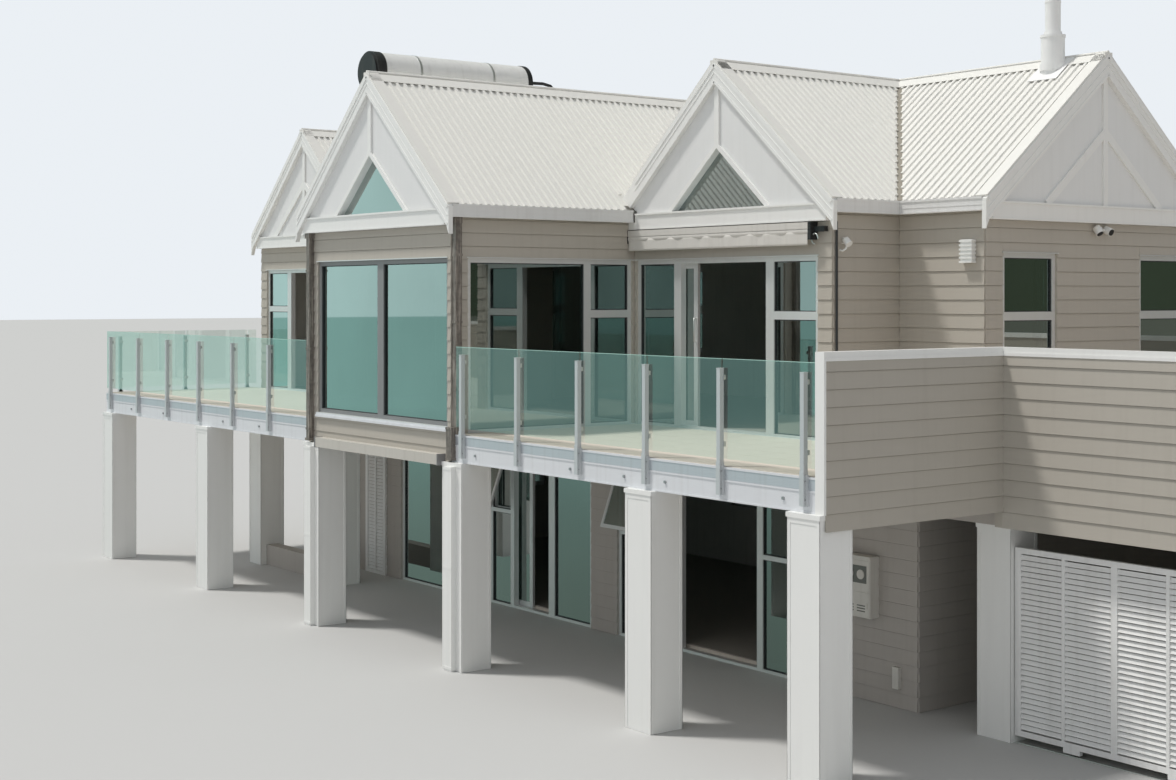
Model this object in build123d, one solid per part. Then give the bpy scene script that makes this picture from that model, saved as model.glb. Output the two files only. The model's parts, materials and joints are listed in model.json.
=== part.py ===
from build123d import *
import os
from math import atan2, degrees

# Two-storey beach house: three gabled wings in front of a gabled main block, raised decks on square
# columns, and a carport closed by a sliding slatted gate.
# X runs along the gable fronts, Y runs away from the sea, Z is up, all in millimetres.
# The origin is the centre of the foot of the fourth front column, at ground level.

# Column grid
column_size = 410.0
bay = 3510.0
first_bay = 3770.0
last_bay = 2385.0
carport_bay = 3810.0
cap_proud = 14.0
cap_height = 45.0

# Levels, each as a height above the one before it
ceiling_level = 2453.0
slab_depth = 327.0
door_height = 2100.0
band_rise = 390.0
band_height = 195.0
wall_rise = 90.0
eave_depth = 150.0
roof_rise = 1735.0
ground_slab = 60.0
ground_head_drop = 68.0
parapet_height = 1140.0

# Plan, measured from the column centres
storey_front = 2635.0
wing_depth = 1080.0
main_depth = 4050.0
main_right = 4722.0
wing_0_centre = -8985.0
wing_0_half = 1780.0
wing_1_centre = -1880.0
wing_1_half = 1785.0
wing_2_centre = 1611.0
wing_2_half = 1847.0
wall = 150.0

# Roof and gables
eave_overhang = 120.0
gable_proud = 80.0
gable_seat = 60.0
roof_depth = 200.0
gutter_width = 28.0
barge_depth = 262.0
barge_thickness = 35.0
barge_tail = 65.0
trim_thickness = 25.0
king_width = 80.0
brace_width = 95.0
brace_foot = 1075.0
brace_top = 870.0
gable_window_half = 850.0
gable_window_rise = 740.0
gable_window_frame = 85.0

# Decks and barriers
fascia_thickness = 70.0
fascia_set_back = 57.0
post_width = 50.0
post_height = 945.0
post_drop = 260.0
post_first_right = 260.0
post_last_right = 147.0
post_first_left = 241.0
post_last_left = 1189.0
end_post_first = 250.0
end_post_last = 173.0
post_count = 6
end_post_count = 3
glass_height = 1040.0
glass_thickness = 14.0
glass_lift = 80.0
glass_gap = 18.0
parapet_overrun = 12.0
parapet_thickness = 100.0
parapet_1_drop = 153.0
parapet_2_set_back = 330.0
parapet_2_drop = 313.0
parapet_cap_height = 62.0
parapet_cap_proud = 14.0
end_trim = 28.0
beam_depth = 360.0
carport_set_back = 130.0

# Joinery
frame_width = 55.0
frame_depth = 80.0
frame_set_back = 12.0
pane = 12.0
transom_drop = 730.0
transom_height = 95.0
ground_transom = 1325.0
ground_transom_height = 55.0
sill = 35.0
wing_sill_height = 80.0
corner_post = 75.0
jamb_margin = 250.0
side_window_start = 218.0
side_window_end = 45.0
side_mullion = 105.0
side_narrow_light = 600.0
front_mullion = 150.0
door_set_start = 55.0
door_set_end = 223.0
door_post = 136.0
narrow_light = 690.0
leaf_stile = 75.0
upper_leaf_width = 1400.0
leaf_lap = 15.0
leaf_reveal = 224.0
upper_doorway = 1310.0
small_window_width = 950.0
small_window_inset = 287.0
small_window_sill_height = 700.0
small_window_head_rise = 25.0
back_window_count = 4
ground_window_sill = 1000.0

# Ground-floor glazing, from the column centres
run_a_left = -5905.0
run_a_right = -1000.0
run_b_left = -440.0
run_b_right = 3680.0
ground_left = -8100.0
ground_back_count = 4
run_a_post_starts = (1205.0, 2445.0, 2979.0, 3903.0)
run_a_post_widths = (80.0, 75.0, 86.0, 137.0)
run_b_post_starts = (1175.0, 2640.0)
run_b_post_widths = (85.0, 100.0)
rear_row = 1710.0
rear_first = -8715.0
rear_pitch = 2550.0
low_wall_height = 330.0
low_wall_width = 210.0
end_column_pitch = 2755.0
end_column_count = 2
track_gap = 14.0
track_height = 20.0
roller_gap = 0.3
roller_height = 9.0
roller_length = 90.0
leaf_back_gap = 6.0
leaf_head_gap = 8.0
left_door_width = 960.0
left_door_cover = 52.0
left_door_rest = 565.0
right_door_width = 1430.0
right_door_cover = 35.0
right_door_rest = 1390.0
sash_gap = 4.0
sash_thickness = 32.0
sash_frame = 45.0
sash_angle = 20.0
louvre_inset = 435.0
louvre_width = 620.0
slat_blade = 30.0
slat_thickness = 14.0
slat_pitch = 54.0

# Gate and its track
gate_panels = 3
gate_panel = 1150.0
gate_bottom = 75.0
gate_top = 1935.0
gate_thickness = 50.0
gate_stile = 70.0
gate_mid_stile = 36.0
gate_rail = 55.0
gate_clearance = 12.0
gate_set_back = 55.0
wheel_radius = 34.0
wheel_width = 18.0
wheel_clearance = 7.0
axle_radius = 6.0
wheel_box_length = 190.0
wheel_box_height = 48.0
gate_track_height = 6.0
gate_track_width = 26.0
screen_clearance = 40.0

# Fittings
blind_box = 125.0
blind_gap = 20.0
blind_drop = 41.0
awning_end = 228.0
awning_box_depth = 130.0
awning_box_height = 75.0
awning_drop = 190.0
awning_start = 25.0
awning_gap = 12.0
cloth_thickness = 30.0
downpipe = 88.0
downpipe_lift = 27.0
downpipe_inset = 60.0
boot_width = 120.0
boot_depth = 62.0
column_pipe_width = 170.0
column_pipe_depth = 66.0
tank_radius = 260.0
tank_length = 2430.0
tank_offset = 510.0
tank_start = 183.0
tank_rise = 105.0
cradle_width = 120.0
cradle_inset = 486.0
collector_count = 2
collector_width = 1150.0
collector_length = 1600.0
collector_foot = 60.0
collector_drop = 900.0
collector_thickness = 80.0
flue_radius = 90.0
flue_casing = 138.0
flue_casing_rise = 280.0
flue_forward = 150.0
flue_pipe = 775.0
cowl_radius = 130.0
cowl_height = 90.0
flue_inset = 532.0
meter_width = 420.0
meter_height = 660.0
meter_depth = 150.0
meter_inset = 70.0
meter_bottom = 925.0
outlet_inset = 231.0
outlet_width = 86.0
outlet_depth = 60.0
outlet_bottom = 210.0
outlet_height = 232.0
bulkhead_inset = 112.0
bulkhead_width = 180.0
bulkhead_depth = 95.0
bulkhead_drop = 90.0
bulkhead_height = 270.0
floodlight_width = 300.0
floodlight_height = 110.0
floodlight_depth = 120.0
floodlight_drop = 140.0
sensor_inset = 110.0
sensor_size = 80.0
sensor_drop = 270.0

os.makedirs("parts", exist_ok=True)
nodes = {}

# Places worked out from the values above
half_column = column_size / 2
leaf_thickness = wall - frame_set_back - frame_depth - track_gap - leaf_back_gap
front_x = [-2 * bay - first_bay, -2 * bay, -bay, 0.0, bay, bay + last_bay]
carport_x = [front_x[5] + carport_bay * index for index in range(3)]
column_face = -half_column
fascia_face = column_face + fascia_set_back
wing_1_front = fascia_face
main_front = storey_front + wing_depth
main_back = main_front + main_depth
main_centre = main_front + main_depth / 2
main_left = wing_0_centre - wing_0_half
wing_0_right = wing_0_centre + wing_0_half
wing_1_left = wing_1_centre - wing_1_half
wing_1_right = wing_1_centre + wing_1_half
wing_2_right = wing_2_centre + wing_2_half
deck_left = front_x[0] - half_column
parapet_1_face = front_x[5] + half_column + parapet_overrun
parapet_2_front = storey_front - parapet_2_set_back
carport_front = parapet_2_front + carport_set_back
inner_face = parapet_1_face - parapet_thickness
parapet_2_back = parapet_2_front + parapet_thickness
carport_right = carport_x[2] + half_column + parapet_overrun
floor_level = ceiling_level + slab_depth
head_level = floor_level + door_height
band_bottom = head_level + band_rise
wall_top = band_bottom + wall_rise
eave_top = wall_top + eave_depth
ridge_level = eave_top + roof_rise
ground_head = ceiling_level - ground_head_drop
parapet_top = floor_level + parapet_height
parapet_1_bottom = ceiling_level - parapet_1_drop
parapet_2_bottom = ceiling_level - parapet_2_drop
transom = head_level - transom_drop
small_window_sill = floor_level + small_window_sill_height
small_window_head = head_level + small_window_head_rise


def block(x0, x1, y0, y1, z0, z1):
    """Box between two corners."""
    middle = Pos((x0 + x1) / 2, (y0 + y1) / 2, (z0 + z1) / 2)
    return middle * Box(x1 - x0, y1 - y0, z1 - z0)


def outline_along_y(points, y0, y1):
    """Outline of X and Z points, extruded from y0 to y1."""
    face = make_face(Polyline(*[(x, y0, z) for x, z in points], close=True))
    return extrude(face, amount=y1 - y0, dir=(0, 1, 0))


def outline_along_x(points, x0, x1):
    """Outline of Y and Z points, extruded from x0 to x1."""
    face = make_face(Polyline(*[(x0, y, z) for y, z in points], close=True))
    return extrude(face, amount=x1 - x0, dir=(1, 0, 0))


def outline_up(points, z0, z1):
    """Outline of X and Y points, extruded from z0 to z1."""
    face = make_face(Polyline(*[(x, y, z0) for x, y in points], close=True))
    return extrude(face, amount=z1 - z0, dir=(0, 0, 1))


def joined(shapes):
    """One shape from several that touch or overlap."""
    shapes = list(shapes)
    whole = shapes[0]
    for shape in shapes[1:]:
        whole = whole + shape
    return whole


def place(shape, side, face):
    """Turn a piece that was drawn facing -Y onto the side of the house that it belongs to.
    Its own X becomes X, Y, -X or -Y, and its own Y becomes the depth behind the wall's face."""
    turns = {"front": 0, "right": 90, "back": 180, "left": -90}
    where = Pos(0, face, 0) if side in ("front", "back") else Pos(face, 0, 0)
    return where * Rot(0, 0, turns[side]) * shape


def wall_panel(x0, x1, z0, z1, openings):
    """Wall drawn facing -Y with its openings cut through."""
    panel = block(x0, x1, 0, wall, z0, z1)
    for left, right, bottom, top in openings:
        panel = panel - block(left, right, -wall, 2 * wall, bottom, top)
    return panel


def frame_ring(x0, x1, z0, z1, posts=(), rails=(), foot=frame_width):
    """Window frame drawn facing -Y. Posts are (left, right), rails (left, right, bottom, top)."""
    back = frame_set_back + frame_depth
    ring = block(x0, x1, frame_set_back, back, z0, z1)
    ring = ring - block(x0 + frame_width, x1 - frame_width, 0, back + wall, z0 + foot, z1 - frame_width)
    for left, right in posts:
        ring = ring + block(left, right, frame_set_back, back, z0, z1)
    for left, right, bottom, top in rails:
        ring = ring + block(left, right, frame_set_back, back, bottom, top)
    return ring


def glass_sheet(x0, x1, z0, z1):
    """Pane drawn facing -Y, in the middle of its frame."""
    middle = frame_set_back + frame_depth / 2
    return block(x0, x1, middle - pane / 2, middle + pane / 2, z0, z1)


# Ground floor, upper floor and decks

nodes["ground_floor"] = [block(ground_left + wall, main_right - wall, storey_front + wall,
                               main_back - wall, 0, ground_slab)]

wing_1_inner = wing_1_front + wall
rooms = [(main_left, storey_front), (wing_0_right, storey_front), (wing_0_right, main_front),
         (wing_1_left, main_front), (wing_1_left, wing_1_inner), (wing_1_right, wing_1_inner),
         (wing_1_right, storey_front), (wing_2_right, storey_front), (wing_2_right, main_front),
         (main_right, main_front), (main_right, main_back), (main_left, main_back)]
nodes["upper_floor"] = [outline_up(rooms, ceiling_level, floor_level)]

fascia_back = fascia_face + fascia_thickness
left_edge = deck_left + fascia_thickness
left_deck = [(left_edge, fascia_back), (wing_1_left, fascia_back), (wing_1_left, main_front),
             (wing_0_right, main_front), (wing_0_right, storey_front), (left_edge, storey_front)]

right_deck = [(wing_1_right, fascia_back), (inner_face, fascia_back), (inner_face, main_front),
              (wing_2_right, main_front), (wing_2_right, storey_front), (wing_1_right, storey_front)]
nodes["decks"] = [outline_up(left_deck, ceiling_level, floor_level),
                  outline_up(right_deck, ceiling_level, floor_level)]

carport_inner = carport_right - parapet_thickness
carport_deck = [(inner_face, parapet_2_back), (carport_inner, parapet_2_back),
                (carport_inner, main_back - parapet_thickness),
                (main_right, main_back - parapet_thickness), (main_right, main_front),
                (inner_face, main_front)]
nodes["carport_deck"] = [outline_up(carport_deck, ceiling_level, floor_level)]

left_fascia = [(deck_left, fascia_face), (wing_1_left, fascia_face), (wing_1_left, fascia_back),
               (left_edge, fascia_back), (left_edge, storey_front), (deck_left, storey_front)]
nodes["deck_fascia"] = [
    outline_up(left_fascia, ceiling_level, floor_level),
    block(wing_1_right, inner_face, fascia_face, fascia_back, ceiling_level, floor_level),
]

# Columns: a square shaft and a thin cap that stands proud of it


def column(x, y_front, top):
    """Square column with its cap."""
    shaft = block(x - half_column, x + half_column, y_front, y_front + column_size, 0, top)
    cap = block(x - half_column - cap_proud, x + half_column + cap_proud, y_front - cap_proud,
                y_front + column_size, top - cap_height, top)
    return shaft + cap


gate_front = carport_front + gate_set_back
gate_back = gate_front + gate_thickness
screen_front = gate_back + screen_clearance
nodes["deck_columns"] = [column(x, column_face, ceiling_level) for x in front_x]
for x in (rear_first, rear_first + rear_pitch):
    nodes["deck_columns"].append(column(x, rear_row - half_column, ceiling_level))
for index in range(end_column_count):
    y_front = main_back - column_size - end_column_pitch * index
    nodes["deck_columns"].append(column(main_left + half_column, y_front, ceiling_level))
nodes["low_wall"] = [block(rear_first + half_column, rear_first + rear_pitch - half_column,
                           rear_row - low_wall_width / 2, rear_row + low_wall_width / 2, 0,
                           low_wall_height)]
nodes["carport_columns"] = [column(carport_x[0], carport_front, parapet_2_bottom)]
for x in carport_x[1:]:
    nodes["carport_columns"].append(column(x, screen_front, parapet_2_bottom))
nodes["carport_beam"] = [block(main_right, carport_inner, parapet_2_back, parapet_2_back + beam_depth,
                               parapet_2_bottom, ceiling_level)]

# Ground-floor walls

facade_windows = [(run_a_left, run_a_right, 0, ground_head), (run_b_left, run_b_right, 0, ground_head)]
piers = [(ground_left, run_a_left), (run_a_right, run_b_left), (run_b_right, main_right)]
nodes["ground_front_wall"] = [
    place(wall_panel(left, right, 0, ceiling_level, []), "front", storey_front) for left, right in piers]
nodes["ground_lintels"] = [
    place(wall_panel(left, right, ground_head, ceiling_level, []), "front", storey_front)
    for left, right, bottom, top in facade_windows]


def row_of_windows(start, end, count, bottom, top):
    """Like windows evenly spaced along a wall, as (left, right, bottom, top)."""
    pitch = (end - start) / count
    centres = [start + pitch * (index + 0.5) for index in range(count)]
    half = small_window_width / 2
    return [(centre - half, centre + half, bottom, top) for centre in centres]


side_start = storey_front + wall
back_end = main_back - wall
left_ground_windows = row_of_windows(-back_end, -side_start, 2, ground_window_sill, ground_head)
back_ground_windows = row_of_windows(-main_right, -ground_left, ground_back_count, ground_window_sill,
                                     ground_head)
nodes["ground_end_walls"] = [
    place(wall_panel(-back_end, -side_start, 0, ceiling_level, left_ground_windows), "left", ground_left),
    place(wall_panel(side_start, back_end, 0, ceiling_level, []), "right", main_right)]
nodes["ground_back_wall"] = [
    place(wall_panel(-main_right, -ground_left, 0, ceiling_level, back_ground_windows), "back", main_back)]
carport_end_start = screen_front + column_size
nodes["carport_walls"] = [
    block(main_right, carport_right, main_back - parapet_thickness, main_back, 0, ceiling_level)
    + block(carport_inner, carport_right, carport_end_start, main_back, 0, ceiling_level)]

# Upper walls

front_window = (wing_1_left + jamb_margin, wing_1_right - corner_post, floor_level + wing_sill_height,
                head_level)
wing_0_doors = (main_left + door_set_end, wing_0_right - door_set_start)
wing_2_doors = (wing_1_right + door_set_start, wing_2_right - door_set_end)


def front_wall(left, right, bottom, face, opening):
    """Wall under a gable band, with one wide opening."""
    return place(wall_panel(left, right, bottom, band_bottom, [opening]), "front", face)


nodes["wing_front_walls"] = [
    front_wall(main_left, wing_0_right, floor_level, storey_front,
               (wing_0_doors[0], wing_0_doors[1], floor_level, head_level)),
    front_wall(wing_1_left, wing_1_right, ceiling_level, wing_1_front, front_window),
    front_wall(wing_1_right, wing_2_right, floor_level, storey_front,
               (wing_2_doors[0], wing_2_doors[1], floor_level, head_level)),
]

side_window = (wing_1_front + side_window_start, storey_front - side_window_end, floor_level, head_level)
wing_1_right_wall = place(wall_panel(wing_1_inner, storey_front + wall, floor_level, wall_top, [side_window]),
                          "right", wing_1_right)
left_side_window = (-side_window[1], -side_window[0], floor_level, head_level)
wing_1_left_wall = place(wall_panel(-main_front - wall, -wing_1_inner, floor_level, wall_top,
                                    [left_side_window]), "left", wing_1_left)
nodes["wing_side_walls"] = [
    place(wall_panel(side_start, main_front + wall, floor_level, wall_top, []), "right", wing_0_right),
    wing_1_left_wall,
    wing_1_right_wall,
    place(wall_panel(side_start, main_front + wall, floor_level, wall_top, []), "right", wing_2_right),
]

bay_window = (wing_0_right + jamb_margin, wing_1_left - jamb_margin, floor_level, head_level)
nodes["main_front_walls"] = [
    place(wall_panel(wing_0_right, wing_1_left, floor_level, wall_top, [bay_window]), "front", main_front),
    place(wall_panel(wing_2_right, main_right, floor_level, wall_top, []), "front", main_front),
]


def end_windows(sign):
    """The two windows of a main gable, the same distance in from its two corners."""
    near = main_front + small_window_inset
    far = main_back - small_window_inset - small_window_width
    windows = []
    for start in (near, far):
        ends = sorted((sign * start, sign * (start + small_window_width)))
        windows.append((ends[0], ends[1], small_window_sill, small_window_head))
    return windows


right_windows = end_windows(1)
left_windows = end_windows(-1)
back_windows = row_of_windows(-main_right, -main_left, back_window_count, small_window_sill,
                              small_window_head)
nodes["upper_end_walls"] = [
    place(wall_panel(main_front + wall, back_end, floor_level, band_bottom, right_windows),
          "right", main_right),
    joined([place(wall_panel(-back_end, -side_start, floor_level, band_bottom, left_windows),
                  "left", main_left),
            block(main_left, main_left + wall, side_start, main_front, band_bottom, wall_top)])]
nodes["upper_back_wall"] = [
    place(wall_panel(-main_right, -main_left, floor_level, wall_top, back_windows), "back", main_back)]

# Gables: the triangle above the band stands proud of the wall below it


def slope_height(offset, half):
    """Top of the roof above a point that lies this far from the ridge."""
    run = half + eave_overhang
    return eave_top + roof_rise * (run - abs(offset)) / run


def gable_triangle(centre, half):
    """Outline of the gable panel, which fills the end of the roof."""
    seat = half - wall
    shoulder = slope_height(seat, half) - roof_depth
    peak = ridge_level - roof_depth
    return [(centre - half, band_bottom), (centre + half, band_bottom), (centre + half, wall_top),
            (centre + seat, wall_top), (centre + seat, shoulder), (centre, peak),
            (centre - seat, shoulder), (centre - seat, wall_top), (centre - half, wall_top)]


def gable_window(centre, grow):
    """Triangle of a gable window, made larger by its frame."""
    ratio = gable_window_rise / gable_window_half
    half = gable_window_half + grow
    bottom = band_bottom + band_height
    return [(centre - half, bottom), (centre + half, bottom), (centre, bottom + half * ratio)]


def sloping_bar(foot, head, width):
    """Outline of a straight bar between two points."""
    length = ((head[0] - foot[0]) ** 2 + (head[1] - foot[1]) ** 2) ** 0.5
    across = ((head[1] - foot[1]) / length * width / 2, (foot[0] - head[0]) / length * width / 2)
    return [(foot[0] - across[0], foot[1] - across[1]), (foot[0] + across[0], foot[1] + across[1]),
            (head[0] + across[0], head[1] + across[1]), (head[0] - across[0], head[1] - across[1])]


def gable_pieces(centre, half, windowed):
    """Panel, trim, barge boards and glass of one gable, drawn facing -Y about the wall's face."""
    front = -gable_proud
    panel = outline_along_y(gable_triangle(centre, half), front, gable_seat)
    trim_front = front - trim_thickness
    band_top = band_bottom + band_height
    trim = block(centre - half, centre + half, trim_front, front, band_bottom, band_top)
    glass = []
    king_foot = band_top
    if windowed:
        panel = panel - outline_along_y(gable_window(centre, 0), front - wall, gable_seat + wall)
        ring = outline_along_y(gable_window(centre, gable_window_frame), trim_front, front)
        trim = trim + (ring - outline_along_y(gable_window(centre, 0), front - wall, wall))
        glass = [outline_along_y(gable_window(centre, 0), -pane / 2, pane / 2)]
        king_foot = band_top + gable_window_rise
    else:
        for side in (-1, 1):
            foot = (centre + side * brace_foot, band_top)
            head = (centre, band_top + brace_top)
            bar = outline_along_y(sloping_bar(foot, head, brace_width), trim_front, front)
            trim = trim + (bar & block(centre - half, centre + half, trim_front, front, band_bottom,
                                       ridge_level))
    king_top = ridge_level - barge_depth
    trim = trim + block(centre - king_width / 2, centre + king_width / 2, trim_front, front,
                        king_foot, king_top)
    run = half + eave_overhang + gutter_width
    low = slope_height(half + eave_overhang, half) - roof_rise * gutter_width / (half + eave_overhang)
    barge = outline_along_y([(centre, ridge_level), (centre + run, low),
                             (centre + run, low - barge_depth - barge_tail),
                             (centre + run - barge_tail, low - barge_depth + barge_tail),
                             (centre, ridge_level - barge_depth),
                             (centre - run + barge_tail, low - barge_depth + barge_tail),
                             (centre - run, low - barge_depth - barge_tail), (centre - run, low)],
                            trim_front - barge_thickness, front)
    trim = trim - barge
    return panel, trim, barge, glass


gables = [(wing_0_centre, wing_0_half, False, "front", storey_front),
          (wing_1_centre, wing_1_half, True, "front", wing_1_front),
          (wing_2_centre, wing_2_half, True, "front", storey_front),
          (main_centre, main_depth / 2, False, "right", main_right),
          (-main_centre, main_depth / 2, False, "left", main_left)]
nodes["gable_panels"] = []
nodes["gable_trims"] = []
nodes["barge_boards"] = []
gable_glass = []
for centre, half, windowed, side, face in gables:
    panel, trim, barge, glass = gable_pieces(centre, half, windowed)
    nodes["gable_panels"].append(place(panel, side, face))
    nodes["gable_trims"].append(place(trim, side, face))
    nodes["barge_boards"].append(place(barge, side, face))
    gable_glass += [place(sheet, side, face) for sheet in glass]

# Roof: every block is a gabled shell, and the shells are joined where their slopes meet


def roof_outer(centre, half):
    run = half + eave_overhang
    return [(centre - run, wall_top), (centre + run, wall_top), (centre + run, eave_top),
            (centre, ridge_level), (centre - run, eave_top)]


def roof_inner(centre, half):
    seat = half - wall
    shoulder = slope_height(seat, half) - roof_depth
    return [(centre - seat, band_bottom), (centre + seat, band_bottom), (centre + seat, shoulder),
            (centre, ridge_level - roof_depth), (centre - seat, shoulder)]


wings = [(wing_0_centre, wing_0_half, storey_front), (wing_1_centre, wing_1_half, wing_1_front),
         (wing_2_centre, wing_2_half, storey_front)]
roof_left = main_left - gable_proud
roof_right = main_right + gable_proud
outer = outline_along_x(roof_outer(main_centre, main_depth / 2), roof_left, roof_right)
inner = outline_along_x(roof_inner(main_centre, main_depth / 2), roof_left - wall, roof_right + wall)
for centre, half, front in wings:
    outer = outer + outline_along_y(roof_outer(centre, half), front - gable_proud, main_centre)
    inner = inner + outline_along_y(roof_inner(centre, half), front - gable_proud - wall, main_centre)
above = ridge_level + wall
beyond = main_back + wall
outer = outer - block(roof_left - eave_overhang, roof_left, main_front, beyond, 0, above)
roof = outer - inner

# The second gable dies into the taller side of the middle wing, and the end gables into the walls
eave_edge = wing_1_right + eave_overhang + gutter_width
middle_wing = joined([
    outline_along_y(roof_outer(wing_1_centre, wing_1_half), wing_1_front, main_centre),
    block(wing_1_left, wing_1_right, wing_1_front, main_front, floor_level, eave_top),
    block(wing_1_right, eave_edge, wing_1_front, main_front, wall_top, eave_top)])
right_gable = len(wings) - 1
for name in ("gable_panels", "gable_trims", "barge_boards"):
    nodes[name][right_gable] = nodes[name][right_gable] - middle_wing
for panel in nodes["gable_panels"][-2:]:
    for name in ("main_front_walls", "upper_back_wall", "upper_end_walls"):
        nodes[name] = [solid - panel for solid in nodes[name]]
roof = roof - nodes["barge_boards"][-1] - nodes["gable_panels"][-1] - nodes["gable_trims"][-1]

eave_front = main_front - eave_overhang
wing_2_verge = storey_front - gable_proud
ahead = wing_1_front - wall
wing_0_zone = block(roof_left - wall, wing_0_right + wall, ahead, eave_front, 0, above)
wing_1_zone = block(wing_1_left - wall, wing_1_right + wall, ahead, wing_2_verge, 0, above)
back_zone = block(roof_left - wall, roof_right + wall, main_centre, beyond, 0, above)
nodes["wing_roofs"] = [roof & wing_0_zone, roof & wing_1_zone]
nodes["back_roof"] = [roof & back_zone]
nodes["front_roof"] = [roof - wing_0_zone - wing_1_zone - back_zone]


def gutter(x0, x1, y0, y1):
    return block(x0, x1, y0, y1, wall_top, eave_top)


edge = eave_overhang
nodes["eave_gutters"] = [
    gutter(main_left - edge - gutter_width, main_left - edge, wing_2_verge, eave_front - gutter_width),
    joined([
        gutter(wing_0_right + edge, wing_0_right + edge + gutter_width, wing_2_verge, eave_front),
        gutter(wing_0_right + edge, wing_1_left - edge, eave_front - gutter_width, eave_front),
        gutter(wing_1_left - edge - gutter_width, wing_1_left - edge, wing_1_front - gable_proud,
               eave_front),
    ]),
    gutter(wing_1_right + edge, wing_1_right + edge + gutter_width, wing_1_front - gable_proud,
           wing_2_verge - trim_thickness - barge_thickness),
    joined([
        gutter(wing_2_right + edge, wing_2_right + edge + gutter_width, wing_2_verge, eave_front),
        gutter(wing_2_right + edge, roof_right, eave_front - gutter_width, eave_front),
    ]),
    gutter(roof_left, roof_right, main_back + edge, main_back + edge + gutter_width),
]

# Windows and doors


def glazed(x0, x1, z0, z1, posts=(), rails=None, foot=frame_width, open_lights=(), open_tops=()):
    """Frame and panes of one opening. Rails maps a light's number to (bottom, height)."""
    rails = rails or {}
    edges = [x0 + frame_width]
    for left, right in posts:
        edges += [left, right]
    edges.append(x1 - frame_width)
    bottom, top = z0 + foot, z1 - frame_width
    bars = []
    panes = []
    for light in range(len(posts) + 1):
        left, right = edges[2 * light], edges[2 * light + 1]
        if light in rails:
            rail, height = rails[light]
            bars.append((left, right, rail, rail + height))
        if light in open_lights:
            continue
        if light in rails:
            panes.append(glass_sheet(left, right, bottom, rail))
            if light not in open_tops:
                panes.append(glass_sheet(left, right, rail + height, top))
        else:
            panes.append(glass_sheet(left, right, bottom, top))
    return frame_ring(x0, x1, z0, z1, posts, bars, foot), panes


upper_frames = []
upper_glass = []


def add_upper(side, face, opening, **layout):
    """Fill an upper opening."""
    ring, panes = glazed(*opening, **layout)
    upper_frames.append(place(ring, side, face))
    upper_glass.extend(place(sheet, side, face) for sheet in panes)


front_middle = (front_window[0] + front_window[1]) / 2
ring, panes = glazed(*front_window, posts=[(front_middle - front_mullion / 2,
                                            front_middle + front_mullion / 2)])
nodes["front_window_frame"] = [place(ring, "front", wing_1_front)]
upper_glass += [place(sheet, "front", wing_1_front) for sheet in panes]
side_post = side_window[1] - frame_width - side_narrow_light
add_upper("right", wing_1_right, side_window, posts=[(side_post - side_mullion, side_post)],
          rails={1: (transom, transom_height)}, foot=sill)
add_upper("left", wing_1_left, left_side_window,
          posts=[(-side_post, side_mullion - side_post)], rails={0: (transom, transom_height)}, foot=sill)
bay_middle = (bay_window[0] + bay_window[1]) / 2
add_upper("front", main_front, bay_window,
          posts=[(bay_middle - side_mullion / 2, bay_middle + side_mullion / 2)], foot=sill)
for face, side, windows in ((main_right, "right", right_windows), (main_left, "left", left_windows),
                            (main_back, "back", back_windows)):
    for window in windows:
        add_upper(side, face, window, rails={0: (transom, transom_height)})


def door_set(left, right, flip):
    """Upper door set: fixed light, leaf slid open behind it, doorway, post and narrow light.
    Flipped, it reads from right to left."""
    narrow_left = right - frame_width - narrow_light
    doorway_left = narrow_left - door_post - upper_doorway
    fixed_post = doorway_left - leaf_reveal - door_post
    posts = [(fixed_post, fixed_post + door_post), (narrow_left - door_post, narrow_left)]
    rails = {2: (transom, transom_height)}
    open_light = 1
    leaf = (doorway_left - upper_leaf_width, doorway_left)
    if flip:
        posts = [(left + right - b, left + right - a) for a, b in reversed(posts)]
        rails = {0: (transom, transom_height)}
        leaf = (left + right - leaf[1], left + right - leaf[0])
    ring, panes = glazed(left, right, floor_level, head_level, posts, rails, sill, (open_light,))
    back = frame_set_back + frame_depth
    jamb = frame_width - leaf_lap
    leaf_left, leaf_right = max(leaf[0], left + jamb), min(leaf[1], right - jamb)
    low, high = floor_level + sill - leaf_lap, head_level - jamb
    slab = block(leaf_left, leaf_right, back, back + leaf_thickness, low, high)
    hole = block(leaf_left + leaf_stile, leaf_right - leaf_stile, back, back + leaf_thickness,
                 low + leaf_stile, high - leaf_stile)
    sheet = block(leaf_left + leaf_stile, leaf_right - leaf_stile, back + leaf_thickness / 2 - pane / 2,
                  back + leaf_thickness / 2 + pane / 2, low + leaf_stile, high - leaf_stile)
    return ring + (slab - hole), panes + [sheet]


nodes["upper_door_frames"] = []
for doors, flip in ((wing_0_doors, True), (wing_2_doors, False)):
    ring, panes = door_set(doors[0], doors[1], flip)
    nodes["upper_door_frames"].append(place(ring, "front", storey_front))
    upper_glass += [place(sheet, "front", storey_front) for sheet in panes]
nodes["upper_window_frames"] = upper_frames
nodes["upper_glass"] = upper_glass + gable_glass

# Ground-floor glazing: run A has the smaller sliding door, run B the larger one

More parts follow.
